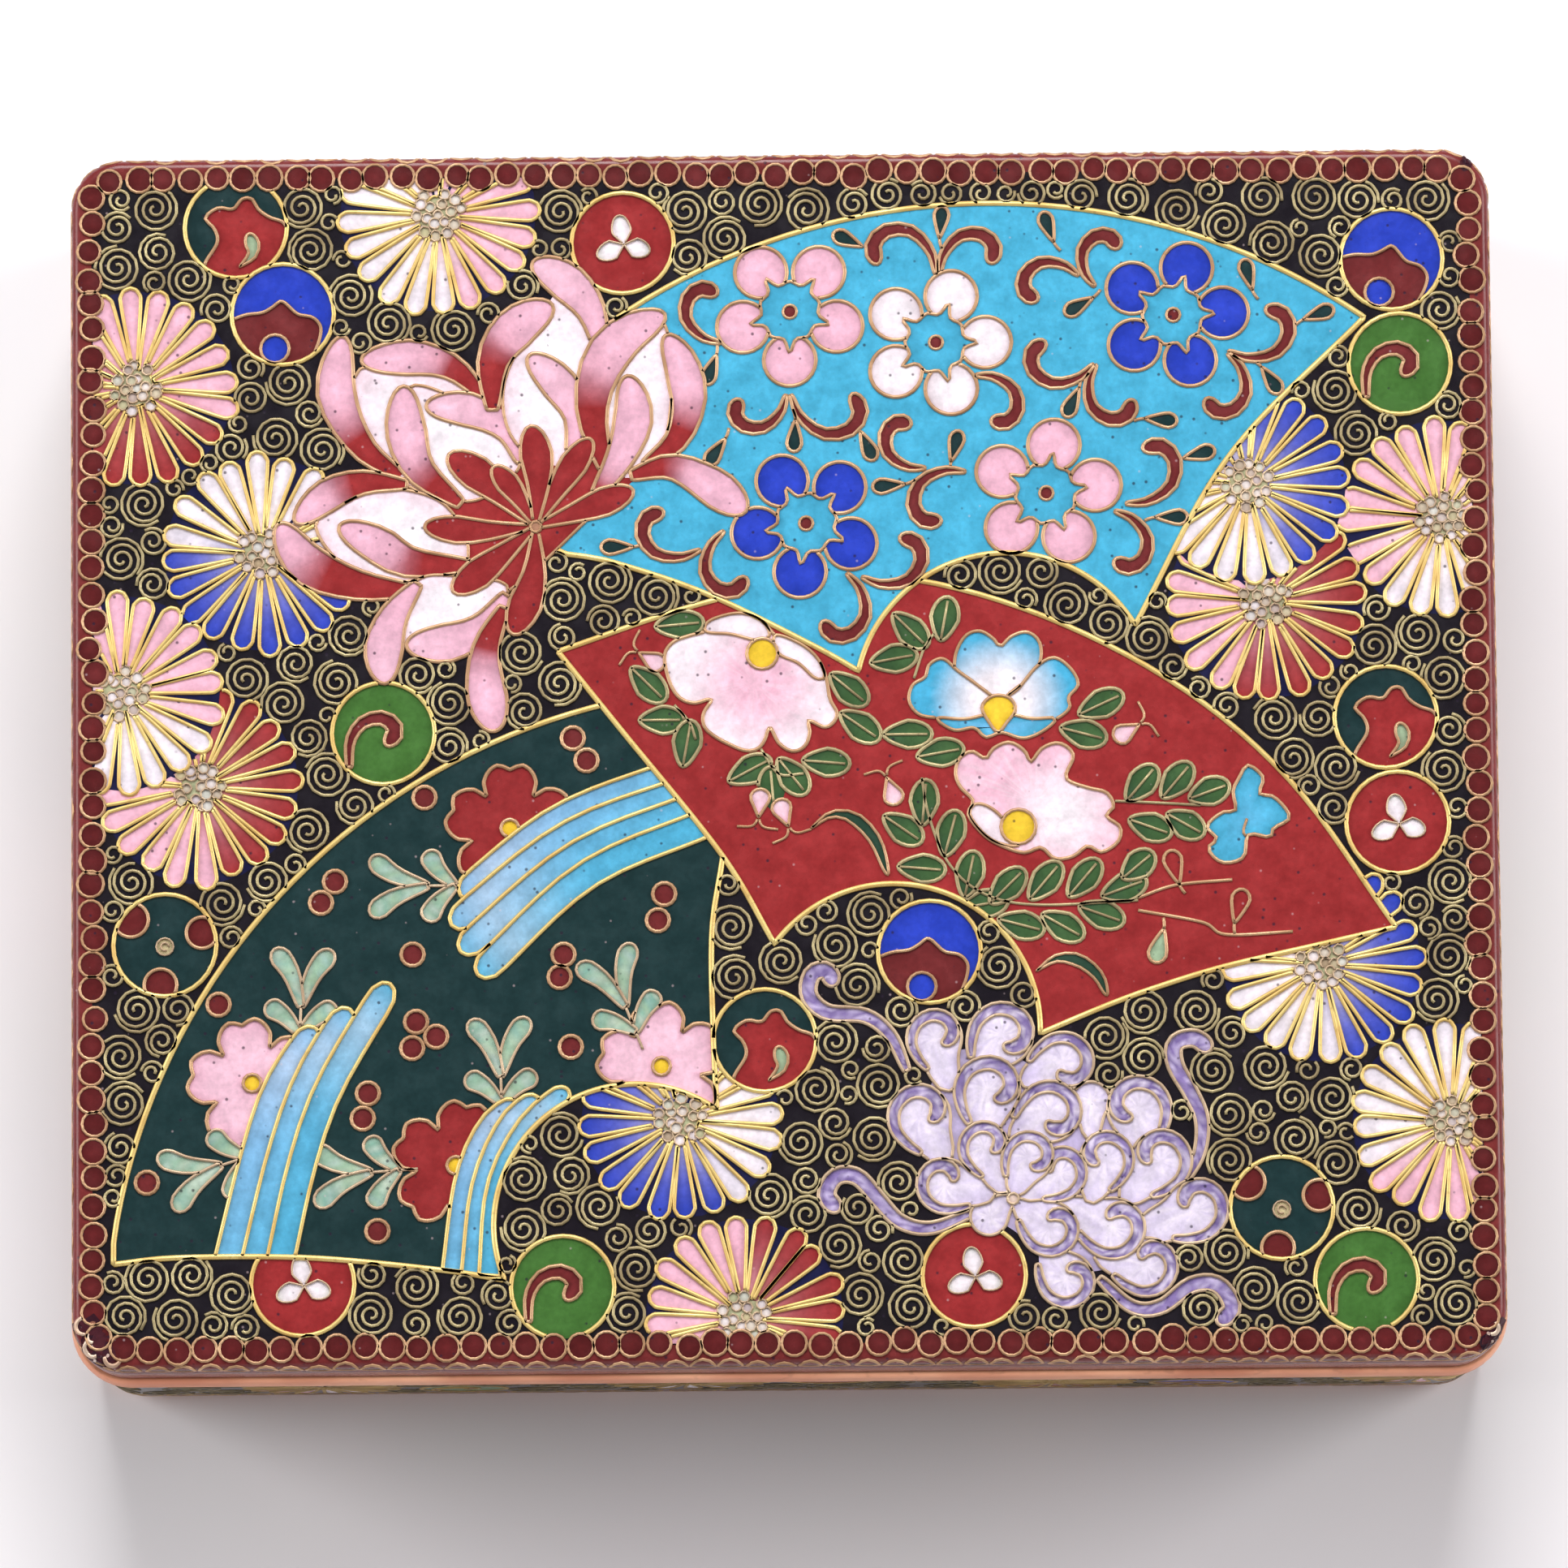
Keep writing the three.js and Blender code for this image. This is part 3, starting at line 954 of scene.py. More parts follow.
def metal_material(name, bright, dull, roughness=0.38, metallic=0.6, scale=300.0):
    """A soft metal, brighter where it is rubbed and duller where it has tarnished."""
    material, nodes, links, shader = graph(name)
    where = node(nodes, "ShaderNodeTexCoord").outputs["Object"]
    patches = node(nodes, "ShaderNodeTexNoise", in_Scale=scale, in_Detail=4.0)
    grain = node(nodes, "ShaderNodeTexNoise", in_Scale=scale * 7, in_Detail=2.0)
    links.new(where, patches.inputs["Vector"])
    links.new(where, grain.inputs["Vector"])
    worn = ramp(nodes, links, patches.outputs["Fac"], 0.35, 0.65)
    tone = blend_colour(nodes, links, worn, bright, dull)
    spots = ramp(nodes, links, grain.outputs["Fac"], 0.62, 0.72, 0.0, 0.35)
    links.new(blend_colour(nodes, links, spots, tone, dull * 0.55), shader.inputs["Base Color"])
    links.new(ramp(nodes, links, worn, 0, 1, roughness, roughness + 0.15), shader.inputs["Roughness"])
    shader.inputs["Metallic"].default_value = metallic
    bump = node(nodes, "ShaderNodeBump", in_Strength=0.15)
    bump.inputs["Distance"].default_value = 0.00003
    links.new(grain.outputs["Fac"], bump.inputs["Height"])
    links.new(bump.outputs["Normal"], shader.inputs["Normal"])
    return material


enamel = enamel_material("fired enamel")
gilt = metal_material("gilt wire", paint(250, 222, 142), paint(222, 184, 108), 0.36, 0.45)
rose = metal_material("rose gold wire", paint(214, 172, 132), paint(176, 134, 98), 0.38, 0.45)
olive = metal_material("scroll wire", paint(196, 180, 134), paint(152, 134, 98), 0.4, 0.4)
pale = metal_material("pale wire", paint(216, 188, 156), paint(178, 150, 122), 0.4, 0.4)
bare_metal = metal_material("bare wire", paint(244, 220, 198), paint(206, 166, 138), 0.36, 0.45)
# darker copies of the gilt and scroll wire for the box's walls: painted shade, the same metals made darker
shade_darkened_gilt = metal_material("wall gilt wire darkened for painted shade", paint(196, 164, 100), paint(150, 122, 74), 0.42, 0.5)
shade_darkened_olive = metal_material("wall scroll wire darkened for painted shade", paint(128, 114, 82), paint(98, 86, 62), 0.45, 0.5)
copper = metal_material("worn copper", paint(248, 184, 146), paint(214, 142, 110), 0.38, 0.75, 90.0)


# ---------------------------------------------------------------- the lid and the box
def walls(rows, capped=True):
    """Carries a profile of (inset, height, colour) round the plan; if capped, flat faces close its ends."""
    piece = Piece()
    s = stations()
    spot, out = plan(s)
    inset = np.array([r[0] for r in rows])
    rise = np.array([r[1] for r in rows])
    flat = spot[None] - out[None] * inset[:, None, None]
    grid = np.concatenate([flat, np.broadcast_to(rise[:, None, None], flat.shape[:2] + (1,))], -1)
    colours = np.broadcast_to(np.array([r[2] for r in rows])[:, None, :], grid.shape)
    piece.patch(grid, colours, ring=True)
    if capped:
        piece.cap(grid[0], rows[0][2])
        piece.cap(grid[-1][::-1], rows[-1][2])
    return piece


def bend(inset, height, radius, start, end, colour, steps=5):
    """Profile rows round an edge: angles from 0, straight out, to 90, straight up."""
    a = np.radians(np.linspace(start, end, steps + 1))
    return [(inset - radius * math.cos(t), height + radius * math.sin(t), colour) for t in a]


ground = TOP - RELIEF
lid_profile = [(CORE, ground, BLACK), (RING_LINE + SEAM, ground, BLACK),
               (RING_LINE - SEAM, ground, OXBLOOD), (RELIEF + SHOULDER + 0.1, ground, OXBLOOD)]
lid_profile += bend(RELIEF + SHOULDER, ground - SHOULDER, SHOULDER, 90, 0, OXBLOOD)
lid_profile += [(RELIEF, EASE[1], OXBLOOD), (FLUSH, EASE[0], OXBLOOD)]
lid_profile += [(FLUSH, lid_low[2], OXBLOOD), (WALL, lid_low[2], LINING)]
lid_profile += [(WALL, lid_low[2] + 0.1, LINING)]
lid_profile += bend(WALL + FILLET, LID_CEILING - FILLET, FILLET, 0, 90, LINING)
lid_profile += [(CORE, LID_CEILING, LINING)]
lid_shell = walls(lid_profile).make("lid_shell", enamel, "lid_enamel", join=True)
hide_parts("lid")

mouth = box_high[2]
box_profile = [(CORE, BOX_FLOOR, LINING)]
box_profile += bend(WALL + FILLET, BOX_FLOOR + FILLET, FILLET, -90, 0, LINING)
box_profile += [(WALL, mouth, LINING), (FLUSH, mouth, OXBLOOD)]
box_profile += [(FLUSH, FIELD[1] + SEAM, OXBLOOD), (FLUSH, FIELD[1] - SEAM, BLACK)]
box_profile += [(FLUSH, FIELD[0] + SEAM, BLACK), (FLUSH, FIELD[0] - SEAM, OXBLOOD)]
# the dark red row where the wall turns in behind the foot ring is painted shade in that recess
box_profile += [(FLUSH, FOOT_LINE, OXBLOOD), (0.62, 1.02, paint(60, 26, 26)), (3.3, 0.9, LINING)]
box_profile += [(3.6, UNDERSIDE, LINING), (CORE, UNDERSIDE, LINING)]
box_shell = walls(box_profile).make("box_shell", enamel, "box_enamel", join=True)
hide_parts("box")


def rounded_face(inset, low, high):
    """Profile rows of a copper band's outer face, from its upper edge down to its lower one, both rounded."""
    rows = bend(inset, high - EDGE, EDGE, 0, 90, PLAIN, 4)[::-1]
    return rows + bend(inset, low + EDGE, EDGE, -90, 0, PLAIN, 4)[::-1]


def bead(low, high):
    """Profile rows of the lid's copper band: from its upper edge it swings out on a quarter ellipse to its
    widest place, just over the joint, and its back is straight."""
    swing, lip = 0.55, 0.12
    rows = [(FLUSH, high, PLAIN)]
    for lean in np.linspace(84, 0, 7):
        t = math.radians(lean)
        rows.append((0.05 - swing * math.cos(t), low + lip + (high - low - lip) * math.sin(t), PLAIN))
    rows += [(-0.38, low, PLAIN), (WALL, low, PLAIN), (WALL, high, PLAIN)]
    return rows + rows[:1]


foot_rows = rounded_face(0.8, 0.0, FOOT_TOP)
foot_rows += [(3.4, 0.0, PLAIN), (3.4, FOOT_TOP, PLAIN), foot_rows[0]]
walls(foot_rows, capped=False).make("foot_ring", copper, "rim_copper", join=True)
joint = cap_low[2]
lid_band = walls(bead(joint, cap_high[2]), capped=False).make("lid_band", copper, "rim_copper", join=True)
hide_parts("lid_rim")
rim_rows = rounded_face(-0.1, mouth, joint)
rim_rows += [(WALL + 0.2, mouth, PLAIN), (COLLAR[1], mouth, PLAIN), (COLLAR[1], rim_high[2], PLAIN)]
rim_rows += [(COLLAR[0], rim_high[2], PLAIN), (COLLAR[0], joint, PLAIN), rim_rows[0]]
rim = walls(rim_rows, capped=False).make("box_band", copper, "rim_copper", join=True)
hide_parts("box_rim")


# ---------------------------------------------------------------- border of rings
def row_on_top(inset, pitch):
    """Evenly spaced points on the lid's top, parallel to its edge."""
    spot, out = plan(np.linspace(0, GIRTH, 2400, endpoint=False))
    line = spot - out * inset
    length = np.linalg.norm(np.diff(np.vstack([line, line[:1]]), axis=0), axis=1).sum()
    return resample(line, int(round(length / pitch)), closed=True)


def ring_row(spots, skin, enamel_piece, wire_piece, radius=0.99, level=12, sides=14, rise_to=RELIEF):
    """A row of small rings of wire filled with dark red."""
    lines = []
    for spot in spots:
        spot = spot + seeded.normal(0, 0.11, 2)
        size = radius * (1 + 0.04 * seeded.normal())
        line = circle(spot, size, sides)
        disc = web(line, spot, 2)
        rise = np.full(disc.grid.shape[:2], level * STEP)
        # each disc is painted darker towards its wire, a painted shade; its brightness also differs at random
        # from ring to ring
        tone = toned(disc, (0, RING_RED), (1, RING_RED * 0.8)) * (0.85 + 0.3 * seeded.random())
        enamel_piece.patch(skin(disc.grid, rise), tone, ring=True)
        lay_wire(wire_piece, line, RING_WIRE, skin, closed=True, top=rise_to)
        lines.append(line)
    return lines


rim_enamel, rim_wires, bare_wires = Piece(), Piece(), Piece()
border = ring_row(row_on_top(RING_LINE, RING_PITCH), flat_top, rim_enamel, rim_wires)
spots_round = np.linspace(0, GIRTH, round(GIRTH / WALL_RING_PITCH), endpoint=False)
wall_enamel, wall_wires, wall_scrolls = Piece(), Piece(), Piece()


def side_row(up, skin, enamel_piece, wire_piece, sides=9, lower=0.0):
    """A row of rings round a wall, lower by some amount on the box's short sides."""
    _, out = plan(spots_round + 0.4)
    spots = np.column_stack([spots_round + 0.4, up - lower * np.abs(out[:, 0])])
    ring_row(spots, skin, enamel_piece, wire_piece, 0.98, 3, sides, 0.09)


side_row(-1.43, lid_wall, rim_enamel, rim_wires, 12, lower=0.6)
side_row(-1.05, box_wall, wall_enamel, wall_wires)
side_row(-18.35, box_wall, wall_enamel, wall_wires)


# ---------------------------------------------------------------- chipped corners
def chips(around, up, spread, count, size=0.55, arcs=()):
    """Broken enamel on the lid's shoulder: dark jagged patches that stand for hollows, their dark partly the
    broken ground and partly painted shade, with grains of bare metal in them whose pale ones are painted
    glints, and pieces of bright wire laid bare over them; arcs are (along, up, radius, start, end)."""

    def lay(cell, tint, height):
        rise = np.full(cell.grid.shape[:2], height)
        rim_enamel.patch(lid_wall(cell.grid, rise), tint, ring=True)

    for k in range(count):
        spot = (around + spread * seeded.normal(), up + 0.4 * seeded.normal())
        jag = 1 + 0.22 * seeded.normal(size=9)
        reach = size * (0.75 + 0.5 * seeded.random())
        hollow = round_cell(spot, reach, 9, 2, lambda a: jag)
        # dark patch for a hollow: partly the broken ground's own dark, partly painted shade, as the patch is
        # not sunk
        tint = mix(paint(44, 20, 34), OXBLOOD, 0.3 * seeded.random())
        lay(hollow, tint, 0.13 + 0.002 * k)
        if k % 3:
            continue
        middle = at(spot, reach * seeded.random(), 360 * seeded.random())
        grain = round_cell(middle, 0.12 + 0.16 * seeded.random(), 6, 2)
        # grains from copper brown to near white: the pale end is a painted glint on bare metal
        tint = mix(paint(240, 222, 212), paint(150, 96, 76), seeded.random())
        lay(grain, tint, 0.17 + 0.0005 * k)
    for along, high, radius, start, end in arcs:
        lay_wire(bare_wires, arc((around + along, high), radius, start, end, 12), 0.38, lid_wall, top=RELIEF)


# ---------------------------------------------------------------- the picture on the lid
spot, out = plan(np.linspace(0, GIRTH, 400, endpoint=False))
edge_of_picture = spot - out * PICTURE_INSET
PICTURE = 2 * edge_of_picture - settle(edge_of_picture)  # the same edge, as the drawing has it
top = Inlay(picture_top, PICTURE)

for flower in (
    (-27.9, 44.5, WHITE, PINK, 195), (-52.0, 30.6, PINK, RED, 75), (-41.8, 17.1, WHITE, COBALT, 80),
    (-46.7, -1.7, RED, PINK, 20), (-53.0, 5.9, PINK, WHITE, 70), (52.3, 19.3, PINK, WHITE, 130),
    (38.3, 12.6, PINK, RED, 160), (36.9, 22.1, COBALT, WHITE, 30), (42.6, -16.6, WHITE, COBALT, 190),
    (52.8, -29.3, WHITE, PINK, 120), (-8.4, -28.7, COBALT, WHITE, 210), (-3.3, -44.5, PINK, RED, 180),
):
    chrysanthemum(top, *flower)

for panel in (
    (-44.1, 43.6, "leaf"), (-40.3, 36.5, "cloud"), (-13.1, 42.1, "trefoil"), (48.5, 40.3, "cloud", -8),
    (49.1, 31.8, "comma"), (-32.1, 2.5, "comma"), (-49.4, -14.4, "discs"), (47.8, 3.2, "leaf"),
    (48.7, -5.3, "trefoil"), (11.4, -15.4, "cloud"), (-1.7, -22.4, "leaf"), (39.3, -36.1, "discs"),
    (46.0, -41.9, "comma"), (-38.3, -41.6, "trefoil"), (-17.7, -42.0, "comma"),
):
    medallion(top, *panel)


def fan_c(inlay):
    """Dark green fan with three streams, pale sprigs, berries and four flowers."""
    inner = arc((-12.1, -37.1), 11.2, 202.9, 54.3, 40)
    outer = np.vstack([[(-53.3, -39.9)], arc((-2.6, -45.1), 51.2, 172, 91, 60)])
    left = smooth([(-22.3, -41.4), (-26.9, -40.6), (-37.6, -39.5), (-48.1, -39.4), (-53.3, -39.9)])
    right = smooth([(-5.5, -27.9), (-5.8, -21.6), (-5.9, -13.7), (-5.1, -8.1), (-3.9, 0.0), tuple(outer[-1])])
    sheet = leaf_of_paper(inner, outer, left, right)
    edge = inlay.cell(sheet, toned(sheet, (0, FOREST), (1, FOREST), edge=0.95), 0)
    for x, y, turn, colour in (
        (-22.0, -5.2, 90, RED),
        (-42.4, -25.5, 100, PINK),
        (-26.2, -32.2, 80, RED),
        (-9.9, -24.4, 95, PINK),
    ):
        blossom(inlay, x, y, 5.4, colour, turn, within=edge)
    for x, y, angle in (
        (-27.0, -9.8, 180), (-38.6, -20.9, 88), (-43.4, -31.6, 198), (-22.6, -26.6, 92),
        (-31.4, -32.6, 184), (-12.2, -21.0, 112),
    ):
        sprig(inlay, x, y, angle, edge)
    for wide, streams in (
        (1.1, [[(-8.6, -0.8), (-18.1, -4.5), (-25.9, -10.6)],
               [(-7.9, -2.2), (-17.5, -5.9), (-26.6, -13.0)],
               [(-7.1, -3.5), (-16.8, -7.5), (-25.9, -15.1)],
               [(-6.4, -4.9), (-16.0, -9.1), (-24.5, -17.0)]]),
        (1.08, [[(-44.2, -39.6), (-42.2, -31.4), (-40.4, -25.9), (-37.4, -21.1)],
                [(-42.1, -39.8), (-40.1, -31.4), (-38.0, -25.3), (-34.7, -19.6)],
                [(-40.1, -39.8), (-38.4, -32.0), (-36.2, -25.7), (-31.5, -17.6)]]),
        (0.84, [[(-26.4, -40.6), (-25.4, -33.3), (-23.6, -29.1), (-21.3, -27.2)],
                [(-24.9, -40.9), (-24.1, -33.9), (-22.1, -29.1), (-19.7, -26.8)],
                [(-23.5, -41.0), (-22.9, -34.0), (-20.5, -29.1), (-17.3, -26.2)]]),
    ):
        for k, path in enumerate(streams):
            strip(inlay, path, wide, 0.45 + 0.6 * k / len(streams), edge)
    berries = [(-28.8, -2.7), (-35.9, -9.4), (-37.0, -11.1), (-29.7, -15.3), (-45.1, -19.2),
               (-29.4, -20.7), (-27.8, -21.9), (-29.7, -22.8), (-33.2, -26.4), (-33.6, -28.4),
               (-50.7, -33.4), (-32.4, -37.4), (-17.0, 2.0), (-15.9, 0.2), (-9.7, -10.6), (-10.2, -12.7),
               (-17.7, -15.4), (-18.0, -17.2), (-17.1, -22.8)]
    for x, y in berries:
        berry(inlay, x, y, edge)
    inlay.line(edge, 0.5, "gilt", closed=True)


def strip(inlay, path, width, place, within):
    """A strip of water with a rounded end."""
    shape = blade(path, width, 0.93, root=1.0, rows=16)
    tint = mix(STREAM, TURQUOISE, place)
    tone = toned(shape, (0, mix(tint, TURQUOISE, 0.5)), (0.5, tint), (0.85, mix(tint, WHITE, 0.3)), (1, tint))
    inlay.cell(shape, tone, 0.36, "gilt", within=within)


def fan_b(inlay):
    """Red fan with two pink flowers, a white and turquoise one, five buds, leaves and stems."""
    inner = arc((8.5, -21.6), 11.7, 143.7, -2.0, 40)
    outer = smooth([(-18.2, 9.0), (-6.3, 12.9), (5.5, 15.0), (17.5, 12.7), (30, 6.7), (40, -1.7),
                    (48.5, -13.7)])
    left = smooth([inner[0], (-5.1, -7.5), (-13.2, 2.7), (-18.2, 9.0)])
    right = smooth([inner[-1], (25.5, -19.8), (29.4, -18.4), (34.7, -16.8), (41.8, -15.2), (48.5, -13.7)])
    sheet = leaf_of_paper(inner, outer, left, right)
    edge = inlay.cell(sheet, toned(sheet, (0, RED), (1, RED), edge=0.92), 0)
    for x, y, angle, long in (
        (-8.5, 11.1, 5, 3.9), (-11.0, 6.3, -45, 3.8), (-9.9, 3.4, 0, 3.6), (-7.9, 1.5, 80, 3.8),
        (-2.9, -0.7, 28, 3.8), (-1.1, -2.2, 95, 3.6), (0.5, -1.2, -52, 3.6), (3.2, -0.1, -5, 3.8),
        (5.0, 5.8, -40, 3.8), (5.9, 2.8, -35, 3.8), (9.7, 2.1, 0, 3.9), (12.3, 0.6, 10, 3.8),
        (8.6, 8.2, 10, 3.8), (9.9, 10.5, -45, 3.8), (12.65, 11.4, 80, 3.6), (25.1, 4.4, 25, 3.9),
        (23.7, 2.05, -15, 3.8), (11.0, -3.4, 85, 3.7), (9.3, -5.5, -35, 3.7), (13.1, -5.9, 75, 3.8),
        (10.8, -8.7, -5, 3.8), (14.6, -9.2, 78, 3.8), (15.8, -11.6, 10, 3.8), (17.6, -10.2, 45, 3.8),
        (20.6, -9.8, 50, 3.8), (23.7, -9.6, 50, 3.8), (26.9, -10.4, 20, 3.8), (18.7, -13.3, -15, 3.8),
        (22.0, -13.4, -30, 3.8), (25.1, -12.5, -20, 3.8), (28.3, -2.0, 50, 3.6), (31.1, -1.8, 50, 3.6),
        (33.7, -2.7, 20, 3.4), (29.0, -5.5, -20, 3.6), (31.8, -5.3, -30, 3.4), (28.0, -8.6, 40, 3.2),
    ):
        leaf(inlay, x, y, angle, long, edge)
    for stem in (
        [(26.2, -3.4), (30.0, -3.6), (33.0, -3.8)],
        [(10.8, -1.4), (11.4, -4.6), (13.0, -8.4), (15.8, -10.8), (20.0, -11.7), (28.0, -11.4)],
        [(-8.9, 4.6), (-7.7, 3.2), (-7.2, 1.8)],
        [(-2.0, 1.0), (-0.6, -1.0), (1.4, -1.0)],
        [(10.2, 6.6), (11.0, 9.0), (11.8, 10.2)],
    ):
        inlay.line(smooth(stem), 0.26, "scroll", within=edge)
    inlay.line(smooth([(28.0, -11.2), (31.0, -10.2), (35.5, -9.8)]), 0.3)
    inlay.line(smooth([(28.0, -12.2), (33.1, -13.2), (35.0, -14.2), (40.3, -14.0)]), 0.3)
    for x, y, angle in ((30.8, -8.8, -70), (35.9, -11.9, -100), (29.8, -15.1, 80)):
        drop(inlay, x, y, angle, SAGE if y < -14 else RED, 2.8, 0.75)
    for path in (
        [(2.0, -5.4), (3.6, -4.3), (5.4, -4.6), (7.1, -6.4), (8.1, -9.2)],
        [(19.9, -17.0), (21.5, -16.0), (23.3, -16.2), (24.8, -17.4), (25.5, -19.0)],
    ):
        inlay.cell(blade(path, 0.46, 0.45, rows=16), mix(FOREST, LEAF, 0.3), 0.28, within=edge)
    for x, y, angle in (
        (-10.8, 8.3, 150),
        (-2.1, -3.4, -95),
        (-0.2, -4.2, -70),
        (8.4, -2.4, 110),
        (27.2, 2.2, 30),
    ):
        bud(inlay, x, y, angle)
    peony(inlay, edge)
    star = [(36.8, -0.6), (38.0, -1.6), (37.7, -2.9), (38.9, -3.2), (40.1, -4.8), (38.8, -5.7),
            (38.5, -6.4), (36.8, -6.2), (36.4, -8.0), (34.7, -8.4), (33.6, -7.3), (34.3, -6.5),
            (33.5, -5.5), (34.7, -4.4), (35.8, -4.2), (35.6, -2.7), (36.1, -1.6)]
    shape = blob(star, 50, (36.7, -4.9), 4)
    inlay.cell(shape, toned(shape, (0, mix(TURQUOISE, SKY, 0.4)), (1, TURQUOISE)), 0.34, within=edge)
    inlay.line(smooth([(36.7, -4.9), (36.4, -5.9), (36.6, -6.3)]), 0.26, within=edge)
    inlay.line(edge, 0.5, "gilt", closed=True)


def bud(inlay, x, y, angle):
    """A pink bud with two fine tendrils at its tip."""
    tip = at((x, y), 1.0, angle)
    for side in (-1, 1):
        curl = [tip, at(tip, 0.9, angle + side * 25), at(tip, 1.9, angle + side * 60)]
        inlay.line(smooth(curl, 8), 0.24)
    shape = blade([at((x, y), 1.1, angle), at((x, y), 1.2, angle + 180)], 0.8, 0.66)
    inlay.cell(shape, toned(shape, (0, PINK), (1, PALE_PINK)), 0.3)


def faded(cell, centre, near, far, inner, outer):
    """Colours by the distance from a point."""
    d = np.linalg.norm(cell.grid - np.asarray(centre), axis=-1)
    return mix(inner, outer, np.clip((d - near) / (far - near), 0, 1))


def peony(inlay, within):
    """The three open flowers on the red fan."""
    body = [(-9.7, 8.6), (-9.0, 9.7), (-7.7, 10.2), (-6.3, 10.6), (-6.1, 11.4), (-3.8, 12.0),
            (-2.0, 11.4), (-0.6, 9.9), (1.1, 9.4), (2.5, 8.3), (3.2, 6.7), (3.5, 5.0), (4.1, 3.7),
            (3.2, 2.7), (1.8, 3.3), (1.9, 2.3), (1.5, 1.2), (0.5, 0.8), (-0.6, 1.5), (-1.3, 2.8),
            (-1.7, 1.7), (-2.3, 1.0), (-3.3, 0.9), (-4.5, 1.4), (-5.6, 2.0), (-6.5, 2.8), (-6.6, 3.9),
            (-5.9, 5.1), (-7.3, 4.75), (-8.5, 5.2), (-9.3, 6.5)]
    shape = blob(body, 96, (-2.6, 6.4), 5)
    tone = faded(shape, (-2.2, 6.4), 2.0, 5.8, PINK, mix(WHITE, PINK, 0.12))
    inlay.cell(shape, mottled(tone, (WHITE, 0.25)), 0.34, within=within)
    for outline in (
        [(-6.4, 10.5), (-6.1, 11.4), (-3.8, 12.0), (-2.0, 11.4), (-1.3, 10.2), (-2.4, 9.8), (-4.4, 10.3)],
        [(-0.9, 10.2), (1.1, 9.5), (2.5, 8.3), (3.1, 6.8), (2.3, 6.7), (1.0, 7.9), (-0.6, 8.7)],
    ):
        petal = blob(outline, 30)
        inlay.cell(petal, toned(petal, (0, WHITE), (1, mix(WHITE, PINK, 0.25))), 0.3, within=within)
    inlay.cell(round_cell((-1.9, 8.7), 1.25, 16, 2), YELLOW, 0.32, within=within)
    middle = (17.0, 4.6)
    for outline in (
        [(13.7, 6.7), (13.5, 8.4), (14.3, 10.0), (15.5, 10.4), (16.6, 9.7), (17.1, 9.1), (17.9, 9.9),
         (19.2, 10.3), (20.2, 9.5), (20.3, 8.0), (19.5, 6.7), (17.9, 5.4), (16.9, 4.7), (15.6, 5.6)],
        [(13.7, 7.2), (12.5, 8.2), (11.4, 7.7), (11.1, 6.7), (10.1, 6.1), (9.8, 4.8), (10.6, 3.7),
         (12.1, 3.4), (13.7, 3.2), (15.9, 3.6), (16.6, 4.8), (15.3, 6.0)],
        [(20.0, 7.5), (21.4, 8.2), (22.7, 7.3), (23.3, 6.0), (22.5, 5.0), (22.6, 4.1), (21.4, 3.2),
         (19.8, 3.0), (17.9, 3.5), (17.4, 4.8), (18.5, 5.7)],
    ):
        petal = blob(outline, 44, rings=5)
        tone = faded(petal, middle, 2.2, 5.4, WHITE, mix(TURQUOISE, COBALT, 0.06))
        inlay.cell(petal, tone, 0.32, within=within)
    lip = [(12.0, 3.4), (13.4, 2.4), (15.0, 2.6), (15.9, 1.8), (17.2, 2.2), (18.9, 1.7), (20.5, 2.3),
           (21.5, 3.3), (19.5, 3.3), (17.0, 3.8), (14.3, 3.3)]
    petal = blob(lip, 44, (16.8, 2.6))
    inlay.cell(petal, toned(petal, (0, SKY), (1, TURQUOISE)), 0.32, within=within)
    eye = [(15.6, 4.2), (16.2, 5.0), (17.0, 5.2), (17.9, 4.9), (18.3, 4.0), (17.6, 3.0), (16.9, 2.2),
           (16.2, 3.0)]
    inlay.cell(blob(eye, 24), YELLOW, 0.32, within=within)
    body = [(13.5, -1.1), (13.8, 0.1), (14.8, 0.7), (15.9, 0.1), (16.5, 0.9), (17.8, 1.4), (19.0, 0.7),
            (19.5, -0.2), (20.4, 0.9), (21.8, 1.3), (22.9, 0.3), (22.3, -1.5), (24.0, -2.3),
            (25.5, -2.7), (26.1, -3.8), (25.5, -4.6), (26.6, -5.5), (26.4, -6.7), (25.1, -7.5),
            (24.0, -7.0), (22.9, -7.8), (21.4, -8.0), (20.3, -7.1), (18.9, -7.5), (16.9, -6.8),
            (15.6, -5.9), (14.5, -4.4), (14.9, -3.3), (13.9, -2.2)]
    shape = blob(body, 96, (19.6, -3.4), 5)
    tone = faded(shape, (22.0, -4.4), 0.8, 5.0, WHITE, PINK)
    inlay.cell(shape, mottled(tone, (WHITE, 0.4)), 0.34, within=within)
    low = [(14.6, -4.3), (15.2, -3.5), (16.5, -4.0), (17.6, -5.2), (18.6, -6.9), (16.9, -6.7), (15.6, -5.8)]
    inlay.cell(blob(low, 24), mix(WHITE, PINK, 0.2), 0.3, within=within)
    inlay.cell(round_cell((18.5, -5.4), 1.4, 16, 2), YELLOW, 0.32, within=within)


